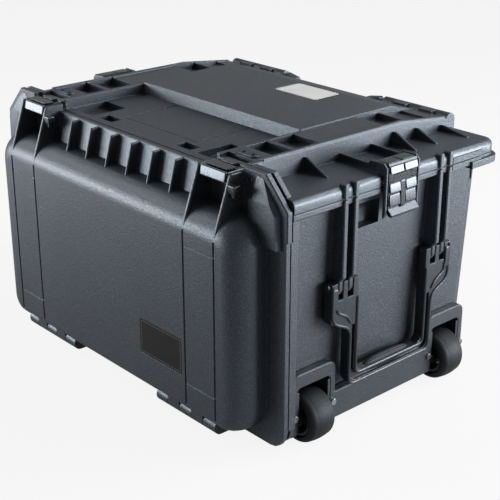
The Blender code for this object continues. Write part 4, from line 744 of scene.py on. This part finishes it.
@dataclass
class HandleTrim:
    """The raised beads and posts on each handle's face and the ribbed grip on its bar.

    Attributes:
        middle: The handles' middle along Y.
        face: The face's distance from the middle of the case.
        bead: Half width of a bead, and how far it stands out.
        outer: Corners of the outer bead, from the middle line.
        outer_ease: How far its curves start from its corners.
        inner: Corners of the inner bead.
        inner_ease: The same for the inner bead.
        hook: Corners of the bead that crosses a yoke.
        hook_ease: The same for that bead.
        post_span: Span from the middle line of the post at each yoke's outer side.
        post_levels: Lowest and highest level of a post.
        post_root: How deep a post starts behind the face.
        post_proud: How far a post stands out.
        post_square: Power that squares a post off.
        bar: The bar's middle, as its distance from the middle of the case and its level.
        grip_half: Half length of the grip.
        grip_rise: Half height of the grip at its middle.
        grip_deep: Half depth of the grip at its middle.
        grip_ends: Share of that height that is left at the grip's ends.
        ribs: Ribs round the grip.
        rib_depth: Height of a rib as a share of the grip's.
        rib_reach: Share of the grip's half length that the ribs run along.
    """

    middle: float = 0.01675
    face: float = 0.311
    bead: Span = (0.0022, 0.0022)
    outer: Outline = ((0.1135, 0.2185), (0.1135, 0.1672), (0.0797, 0.1508), (0.0797, 0.0682))
    outer_ease: float = 0.012
    inner: Outline = ((0.0676, 0.1935), (0.0676, 0.0810))
    inner_ease: float = 0.010
    hook: Outline = ((0.1050, 0.1915), (0.1050, 0.1800), (0.0860, 0.1700), (0.0800, 0.1600))
    hook_ease: float = 0.008
    post_span: Span = (0.1052, 0.1148)
    post_levels: Span = (0.1845, 0.2145)
    post_root: float = 0.003
    post_proud: float = 0.0020
    post_square: float = 0.25
    bar: Span = (0.3035, 0.0795)
    grip_half: float = 0.047
    grip_rise: float = 0.009
    grip_deep: float = 0.0062
    grip_ends: float = 0.25
    ribs: int = 14
    rib_depth: float = 0.05
    rib_reach: float = 0.9

    def mirrored(self, half: Outline) -> Outline:
        """The same outline on the other side of the middle line."""
        return tuple((-across, level) for across, level in half)

    def bead_along(self, end: End, corners: Outline, ease: float) -> np.ndarray:
        """A bead: an oval section carried along an eased path on a handle's face.

        Args:
            end: The end of the case.
            corners: Distances from the middle line, and levels.
            ease: How far from a corner its curve starts.

        Returns:
            A grid of points.
        """
        flat = eased(corners, ease)
        x = np.full(len(flat), end.value * self.face)
        path = np.stack([x, self.middle + flat[:, 0], flat[:, 1]], -1)
        return swept(path, oval(*self.bead), (end.value, 0.0, 0.0))

    def beads(self, end: End) -> list[np.ndarray]:
        """All beads of a handle: the outer and inner loops, and the hooks on the two yokes.

        Args:
            end: The end of the case.

        Returns:
            A grid of points for each bead.
        """
        paths = [
            (self.mirrored(self.outer) + self.outer[::-1], self.outer_ease),
            (self.mirrored(self.inner) + self.inner[::-1], self.inner_ease),
            (self.hook, self.hook_ease),
            (self.mirrored(self.hook), self.hook_ease),
        ]
        return [self.bead_along(end, corners, ease) for corners, ease in paths]

    def posts(self, end: End) -> list[np.ndarray]:
        """The rounded posts at the outer sides of the two yokes.

        Args:
            end: The end of the case.

        Returns:
            A grid of points for each post.
        """
        x = sorted(end.value * (self.face + step) for step in (-self.post_root, self.post_proud))
        near, far = self.post_span
        low, high = self.post_levels
        spans = ((self.middle + near, self.middle + far), (self.middle - far, self.middle - near))
        return [block((x[0], a, low), (x[1], b, high), self.post_square) for a, b in spans]

    def sleeve(self, end: End) -> np.ndarray:
        """The grip: an oval section along Y whose height swells as a flattened arch, with fine ribs along it.

        The ribs are a cosine with one wave for each rib round the section, and the swell is one minus the
        fourth power of the distance from the middle.

        Args:
            end: The end of the case.

        Returns:
            A grid of points.
        """
        along = np.linspace(-1.0, 1.0, 61)[:, None]
        turn = np.linspace(0.0, 2 * np.pi, 72, endpoint=False)[None]
        swell = self.grip_ends + (1 - self.grip_ends) * (1 - np.abs(along) ** 4)
        rib = 1 + self.rib_depth * np.cos(self.ribs * turn) * (np.abs(along) < self.rib_reach)
        x = end.value * self.bar[0] + self.grip_deep * np.cos(turn) * rib * np.sqrt(swell)
        z = self.bar[1] + self.grip_rise * np.sin(turn) * rib * swell
        return np.stack([x, np.broadcast_to(self.middle + self.grip_half * along, x.shape), z], -1)

    def build(self) -> None:
        """Builds the trim of both handles."""
        for end in End:
            body = f"handle_{end.letter}"
            seat(skin(f"handle_beads_{end.word}", self.beads(end) + self.posts(end)), body, Look.HANDLE)
            seat(skin(f"handle_grip_{end.word}", [self.sleeve(end)]), body, Look.TYRE)


@dataclass(frozen=True)
class Pad:
    """A rounded pad on an upright face.

    Attributes:
        near: Where it starts across the face, from the middle.
        far: Where it stops.
        low: Lowest level.
        high: Highest level.
        lean: How far its face steps out for each metre down.
    """

    near: float
    far: float
    low: float
    high: float
    lean: float


@dataclass
class EndLatchTrim:
    """The raised pads on the end latches and the centre strips of their levers.

    Attributes:
        middle: The latches' middle along Y.
        face: The front face's distance from the middle of the case.
        root: How deep a pad starts behind the face.
        proud: How far a pad stands out.
        square: Power that squares a front pad off.
        link_pads: Pads on the link's front.
        lever_pads: Pads on the lever's front, the centre strip last.
        top_halves: Spans along Y, from the middle, of the pads on the link's top.
        top_span: Their span from the middle of the case.
        top_levels: Their lowest and highest level.
        top_square: Power that squares them off.
    """

    middle: float = 0.0168
    face: float = 0.3186
    root: float = 0.004
    proud: float = 0.0009
    square: float = 0.14
    link_pads: tuple[Pad, ...] = (
        Pad(-0.0255, -0.0012, 0.3500, 0.3592, 0.25),
        Pad(0.0012, 0.0255, 0.3500, 0.3592, 0.25),
    )
    lever_pads: tuple[Pad, ...] = (
        Pad(-0.0250, -0.0052, 0.3245, 0.3365, 0.17),
        Pad(0.0052, 0.0250, 0.3245, 0.3365, 0.17),
        Pad(-0.0250, -0.0052, 0.3065, 0.3215, 0.12),
        Pad(0.0052, 0.0250, 0.3065, 0.3215, 0.12),
        Pad(-0.0042, 0.0042, 0.3030, 0.3372, 0.05),
    )
    top_halves: tuple[Span, ...] = ((-0.0255, -0.0012), (0.0012, 0.0255))
    top_span: Span = (0.2985, 0.3150)
    top_levels: Span = (0.3617, 0.3633)
    top_square: float = 0.16

    def front_pad(self, end: End, pad: Pad) -> np.ndarray:
        """A rounded pad on a face that looks along X, sheared so that its foot stands further out.

        Args:
            end: The end of the case.
            pad: The pad's sizes.

        Returns:
            A grid of points.
        """
        x = sorted(end.value * (self.face + step) for step in (-self.root, self.proud))
        low = (x[0], self.middle + pad.near, pad.low)
        high = (x[1], self.middle + pad.far, pad.high)
        grid = block(low, high, self.square)
        grid[..., 0] += end.value * pad.lean * (pad.high - grid[..., 2])
        return grid

    def top_pads(self, end: End) -> list[np.ndarray]:
        """The rounded pads on the link's top.

        Args:
            end: The end of the case.

        Returns:
            A grid of points for each pad.
        """
        x = sorted(end.value * place for place in self.top_span)
        low, high = self.top_levels
        spans = [(self.middle + near, self.middle + far) for near, far in self.top_halves]
        return [block((x[0], a, low), (x[1], b, high), self.top_square) for a, b in spans]

    def build(self) -> None:
        """Builds the trim of both latches."""
        for end in End:
            link = [self.front_pad(end, pad) for pad in self.link_pads] + self.top_pads(end)
            seat(skin(f"link_pads_{end.word}", link), f"end_link_{end.letter}", Look.LATCH)
            lever = [self.front_pad(end, pad) for pad in self.lever_pads]
            seat(skin(f"lever_pads_{end.word}", lever), f"end_lever_{end.letter}", Look.LATCH)


@dataclass
class FrontLatchTrim:
    """The pads on the front latches, the clips beside the straps and the eyelets of the padlock plates.

    Attributes:
        middle: The latches' middle along X, from the middle of the case.
        top_pads: Half width, span along Y and levels of the pads on a latch's top.
        lip: The pad on a latch's lip.
        lip_face: The lip's place along Y.
        lip_proud: How far the lip's pad stands out.
        lip_root: How deep it starts behind the lip's face.
        square: Power that squares a pad off.
        clips: Lowest and highest corner of the clip at each end.
        clip_square: Power that squares a clip off.
        tongue_inset: How far a clip's tongue stays inside the clip along Y, and reaches up into it.
        tongue_drop: How far the tongue hangs below the clip.
        tongue_short: How much narrower than the clip the tongue is.
        plate: Middle of a padlock plate: distance from the middle of the case, place along Y, and level.
        eyelet_shift: How far an eyelet lies from the middle of its plate.
        eyelet_radius: Radius of an eyelet's ring.
        eyelet_wire: Half width and half height of the ring's section.
    """

    middle: float = 0.20215
    top_pads: tuple[tuple[float, ...], ...] = (
        (0.0215, -0.1940, -0.1790, 0.3722, 0.3739),
        (0.0120, -0.1765, -0.1670, 0.3720, 0.3746),
    )
    lip: Pad = Pad(-0.0236, 0.0236, 0.3588, 0.3708, 0.20)
    lip_face: float = -0.1985
    lip_proud: float = 0.0008
    lip_root: float = 0.0050
    square: float = 0.14
    clips: tuple[tuple[End, Place, Place], ...] = (
        (End.RIGHT, (0.2335, -0.2040, 0.3485), (0.2465, -0.1930, 0.3590)),
        (End.LEFT, (-0.1708, -0.2040, 0.3485), (-0.1580, -0.1930, 0.3590)),
    )
    clip_square: float = 0.2
    tongue_inset: float = 0.002
    tongue_drop: float = 0.006
    tongue_short: float = 0.003
    plate: Place = (0.203, -0.143, 0.3787)
    eyelet_shift: float = 0.0085
    eyelet_radius: float = 0.0042
    eyelet_wire: Span = (0.0009, 0.0005)

    def pads(self, end: End) -> list[np.ndarray]:
        """The rounded pads on a latch's top, and one on its lip, sheared so that its foot stands further out.

        Args:
            end: The end of the case.

        Returns:
            A grid of points for each pad.
        """
        at = end.value * self.middle
        grids = []
        for half, near, far, low, high in self.top_pads:
            grids.append(block((at - half, near, low), (at + half, far, high), self.square))
        front, back = self.lip_face - self.lip_proud, self.lip_face + self.lip_root
        lip_low = (at + self.lip.near, front, self.lip.low)
        lip_high = (at + self.lip.far, back, self.lip.high)
        lip = block(lip_low, lip_high, self.square)
        lip[..., 1] -= self.lip.lean * (self.lip.high - lip[..., 2])
        return [*grids, lip]

    def clip(self, low: Place, high: Place) -> list[np.ndarray]:
        """A clip beside a strap: a rounded block, and a thin tongue that hangs from it.

        Args:
            low: Lowest corner of the block.
            high: Highest corner of the block.

        Returns:
            A grid of points for each of the two.
        """
        inset = self.tongue_inset
        foot = (low[0], low[1] + inset, low[2] - self.tongue_drop)
        head = (high[0] - self.tongue_short, high[1] - inset, low[2] + inset)
        return [block(low, high, self.clip_square), block(foot, head, self.clip_square)]

    def eyelet_rings(self, end: End) -> list[np.ndarray]:
        """Two rings round the holes of a padlock plate, each an oval section carried round a circle.

        Args:
            end: The end of the case.

        Returns:
            A grid of points for each ring.
        """
        turn = np.linspace(0.0, 2 * np.pi, 40, endpoint=False)
        across, along, level = self.plate
        y = along + self.eyelet_radius * np.sin(turn)
        wire = oval(*self.eyelet_wire, 10)
        rings = []
        for shift in (-self.eyelet_shift, self.eyelet_shift):
            x = end.value * across + shift + self.eyelet_radius * np.cos(turn)
            path = np.stack([x, y, np.full(len(turn), level)], -1)
            rings.append(swept(path, wire, (0.0, 0.0, 1.0), True))
        return rings

    def build(self) -> None:
        """Builds the trim of both front latches."""
        for end in End:
            seat(skin(f"latch_pads_{end.word}", self.pads(end)), f"front_latch_{end.letter}", Look.LATCH)
            rings = skin(f"padlock_eyelets_{end.word}", self.eyelet_rings(end), True)
            seat(rings, "lid", Look.DARK_STEEL)
        for end, low, high in self.clips:
            seat(skin(f"strap_clip_{end.word}", self.clip(low, high)), "cover", Look.LATCH)


@dataclass
class EarWedges:
    """The raised lower parts of the cover's corner ears, whose sloped tops catch the light.

    Attributes:
        foot: Outline on the flange, as X and Z.
        crown: Outline of the raised face, point for point.
        levels: Places along Y of the two outlines.
    """

    foot: Outline = (
        (0.2590, 0.3725),
        (0.2690, 0.3710),
        (0.2995, 0.3320),
        (0.3015, 0.2860),
        (0.2490, 0.2860),
        (0.2490, 0.3550),
    )
    crown: Outline = (
        (0.2590, 0.3425),
        (0.2890, 0.3420),
        (0.2972, 0.3310),
        (0.2992, 0.2885),
        (0.2505, 0.2885),
        (0.2505, 0.3420),
    )
    levels: Span = (-0.1780, -0.1862)

    def wedge(self, end: End) -> np.ndarray:
        """The straight blend from one outline to the other.

        Args:
            end: The end of the case.

        Returns:
            A grid of two rows.
        """
        outlines = np.array([self.foot, self.crown])
        along = np.broadcast_to(np.array(self.levels)[:, None], outlines.shape[:2])
        return np.stack([end.value * outlines[..., 0], along, outlines[..., 1]], -1)

    def build(self) -> None:
        """Builds both wedges."""
        for end in End:
            piece = skin(f"ear_wedge_{end.word}", [self.wedge(end)], sharp=FACET_SHARP)
            seat(piece, "cover", Look.SHELL)


@dataclass
class LeaningWalls:
    """The platform's front wall and the cover's wall between the short ribs, with a moulding's draft.

    Attributes:
        walls: Name, body, half length, place along Y of the CAD face, levels, and the lean.
        proud: How far a wall's top edge stands in front of the CAD face.
        root: How deep a wall starts behind it.
    """

    walls: tuple[tuple, ...] = (
        ("platform_wall", "lid", 0.1705, -0.0230, 0.3617, 0.3787, 0.27),
        ("rib_wall", "cover", 0.1560, -0.1780, 0.3215, 0.3606, 0.24),
    )
    proud: float = 0.0002
    root: float = 0.0030

    def wall(self, half: float, face: float, low: float, high: float, lean: float) -> np.ndarray:
        """A four-sided section, the same at both ends, whose foot stands further out than its top.

        Args:
            half: Half length along X.
            face: Place along Y of the CAD face.
            low: Level of the foot.
            high: Level of the top.
            lean: How far the face steps out for each metre down.

        Returns:
            A grid of two rows.
        """
        front, back = face - self.proud, face + self.root
        y = np.array([back, front - lean * (high - low), front, back])
        z = np.array([low, low, high, high])
        return np.stack(np.broadcast_arrays(np.array([[-half], [half]]), y, z), -1)

    def build(self) -> None:
        """Builds both walls."""
        for name, body, *sizes in self.walls:
            seat(skin(name, [self.wall(*sizes)], sharp=FACET_SHARP), body, Look.SHELL)


@dataclass
class Fittings:
    """The small CAD nodes that keep their own shape and only get a finish.

    Attributes:
        looks: The finish for each of the record's slots.
        dark: Starts of the names of the steel fittings that get the darker steel: blackened pins, and the
            stainless padlock plates, darkened as a painted dark reflection.
    """

    looks: dict[str, Look] = field(
        default_factory=lambda: {
            "steel": Look.STEEL,
            "seal": Look.SEAL,
            "plate": Look.PLATE,
            "label": Look.LABEL,
        }
    )
    dark: tuple[str, ...] = (
        "handle_pin",
        "lid_hinge_pin",
        "cover_hinge_pin",
        "end_latch_pin",
        # The padlock plates are stainless; the darker steel on them is a painted dark reflection.
        "padlock_plate",
    )

    def dress(self, nodes: dict, record: dict) -> None:
        """Dresses every node that still shows.

        Args:
            nodes: CAD objects by name.
            record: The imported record.
        """
        for row in record["subparts"]:
            node = nodes[row["node"]]
            if node.hide_render:
                continue
            look = Look.DARK_STEEL if node.name.startswith(self.dark) else self.looks[row["material_slot"]]
            put_finish(node, look)
            LOG.info("fitting %s", node.name)


@dataclass
class Studio:
    """Floor, light and camera.

    Attributes:
        camera: Where the camera stands.
        target: What it looks at.
        lens: Focal length in millimetres.
        sensor: Width of the camera's frame in millimetres.
        boxes: Each soft box's name, place, width and height, and watts.
        box_target: What the soft boxes point at.
        floor_reach: How far the floor reaches from the middle.
        floor_grey: The floor's colour where light falls on it.
        floor_seen: Share of plain white where the camera sees the floor.
        floor_shone: Share of plain white where a glossy surface mirrors the floor.
        surround: Strength of the surround where it lights the case.
        rays: Strength of the surround for the other kinds of ray; a later kind holds over an earlier one.
    """

    camera: Place = (1.22184, -1.05004, 0.81039)
    target: Place = (0.0563, -0.009, 0.1672)
    lens: float = 82.9
    sensor: float = 36.0
    boxes: tuple[tuple[str, Place, Span, float], ...] = (
        ("right_box", (1.9, 1.5, 0.52), (1.8, 1.0), 128.0),
        ("top_box", (1.0, 1.4, 1.75), (0.9, 0.9), 27.0),
        ("shoulder_box", (-1.5, -0.85, 1.45), (1.2, 0.8), 10.0),
        ("front_box", (-1.5, -1.5, 0.42), (1.2, 0.7), 38.0),
    )
    box_target: Place = (0.0, 0.0, 0.2)
    floor_reach: float = 6.0
    floor_grey: Colour = (0.48, 0.48, 0.48)
    floor_seen: float = 0.88
    floor_shone: float = 0.12
    surround: float = 0.11
    rays: tuple[tuple[str, float], ...] = (
        ("Is Glossy Ray", 0.41),
        ("Is Transmission Ray", 1.0),
        ("Is Camera Ray", 1.0),
    )

    def aimed(self, name: str, data: bpy.types.ID, place: Place, target: Place) -> bpy.types.Object:
        """Puts a lamp or camera in the scene and turns it.

        Args:
            name: Its name.
            data: The lamp or camera itself.
            place: Where it stands.
            target: What it points at.

        Returns:
            The new object.
        """
        made = bpy.data.objects.new(name, data)
        bpy.context.scene.collection.objects.link(made)
        made.location = place
        made.rotation_euler = (Vector(target) - Vector(place)).to_track_quat("-Z", "Y").to_euler()
        return made

    def lamp(self, name: str, place: Place, size: Span, power: float) -> None:
        """Adds a soft box that points at the case.

        Args:
            name: Its name.
            place: Where it stands.
            size: Width and height in metres.
            power: Watts.
        """
        light = bpy.data.lights.new(name, "AREA")
        light.shape = "RECTANGLE"
        light.size, light.size_y = size
        light.energy = power
        self.aimed(name, light, place, self.box_target)

    def floor(self) -> None:
        """A wide pale floor that takes a soft shadow and reads as white."""
        tree = Tree("pale_floor")
        diffuse = tree.add("ShaderNodeBsdfDiffuse", None, Color=(*self.floor_grey, 1.0))
        glow = tree.add("ShaderNodeEmission", None, Color=(*WHITE, 1.0), Strength=1.0)
        path = tree.add("ShaderNodeLightPath")
        seen = tree.math("MULTIPLY", path.outputs["Is Camera Ray"], self.floor_seen)
        shone = tree.math("MULTIPLY", path.outputs["Is Glossy Ray"], self.floor_shone)
        share = tree.math("MAXIMUM", seen, shone)
        mixed = tree.add("ShaderNodeMixShader", None, Fac=share, i1=diffuse.outputs[0], i2=glow.outputs[0])
        mesh = bpy.data.meshes.new("floor")
        reach = self.floor_reach
        corners = [(-reach, -reach, 0), (reach, -reach, 0), (reach, reach, 0), (-reach, reach, 0)]
        mesh.from_pydata(corners, [], [(0, 1, 2, 3)])
        mesh.materials.append(tree.close(mixed))
        made = bpy.data.objects.new("floor", mesh)
        bpy.context.scene.collection.objects.link(made)

    def sky(self) -> None:
        """An even surround: white where it is seen, paler grey where it is reflected, dim where it lights."""
        world = bpy.data.worlds.new("surround")
        world.use_nodes = True
        bpy.context.scene.world = world
        nodes, links = world.node_tree.nodes, world.node_tree.links
        path = nodes.new("ShaderNodeLightPath")
        steps: list[bpy.types.Node] = []
        for ray, strength in self.rays:
            step = nodes.new("ShaderNodeMapRange")
            step.inputs["To Min"].default_value = self.surround
            step.inputs["To Max"].default_value = strength
            links.new(path.outputs[ray], step.inputs["Value"])
            if steps:
                links.new(steps[-1].outputs["Result"], step.inputs["To Min"])
            steps.append(step)
        backdrop = nodes["Background"]
        links.new(steps[-1].outputs["Result"], backdrop.inputs["Strength"])
        backdrop.inputs["Color"].default_value = (*WHITE, 1.0)

    def build(self) -> None:
        """Sets up the whole studio."""
        self.floor()
        self.sky()
        for box in self.boxes:
            self.lamp(*box)
        data = bpy.data.cameras.new("camera")
        data.lens = self.lens
        data.sensor_width = self.sensor
        bpy.context.scene.camera = self.aimed("camera", data, self.camera, self.target)
        bpy.context.scene.view_settings.view_transform = "Standard"


def main() -> None:
    """Builds the case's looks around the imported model."""
    logging.basicConfig(level=logging.INFO, format="%(name)s %(message)s")
    for old in list(bpy.data.objects):
        bpy.data.objects.remove(old)
    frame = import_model()
    trims = (Tyres(), HandleTrim(), EndLatchTrim(), FrontLatchTrim(), EarWedges(), LeaningWalls())
    for assembly in (Mouldings(), *trims):
        assembly.build()
    Fittings().dress(frame["nodes"], frame["record"])
    Studio().build()


if __name__ == "__main__":
    main()
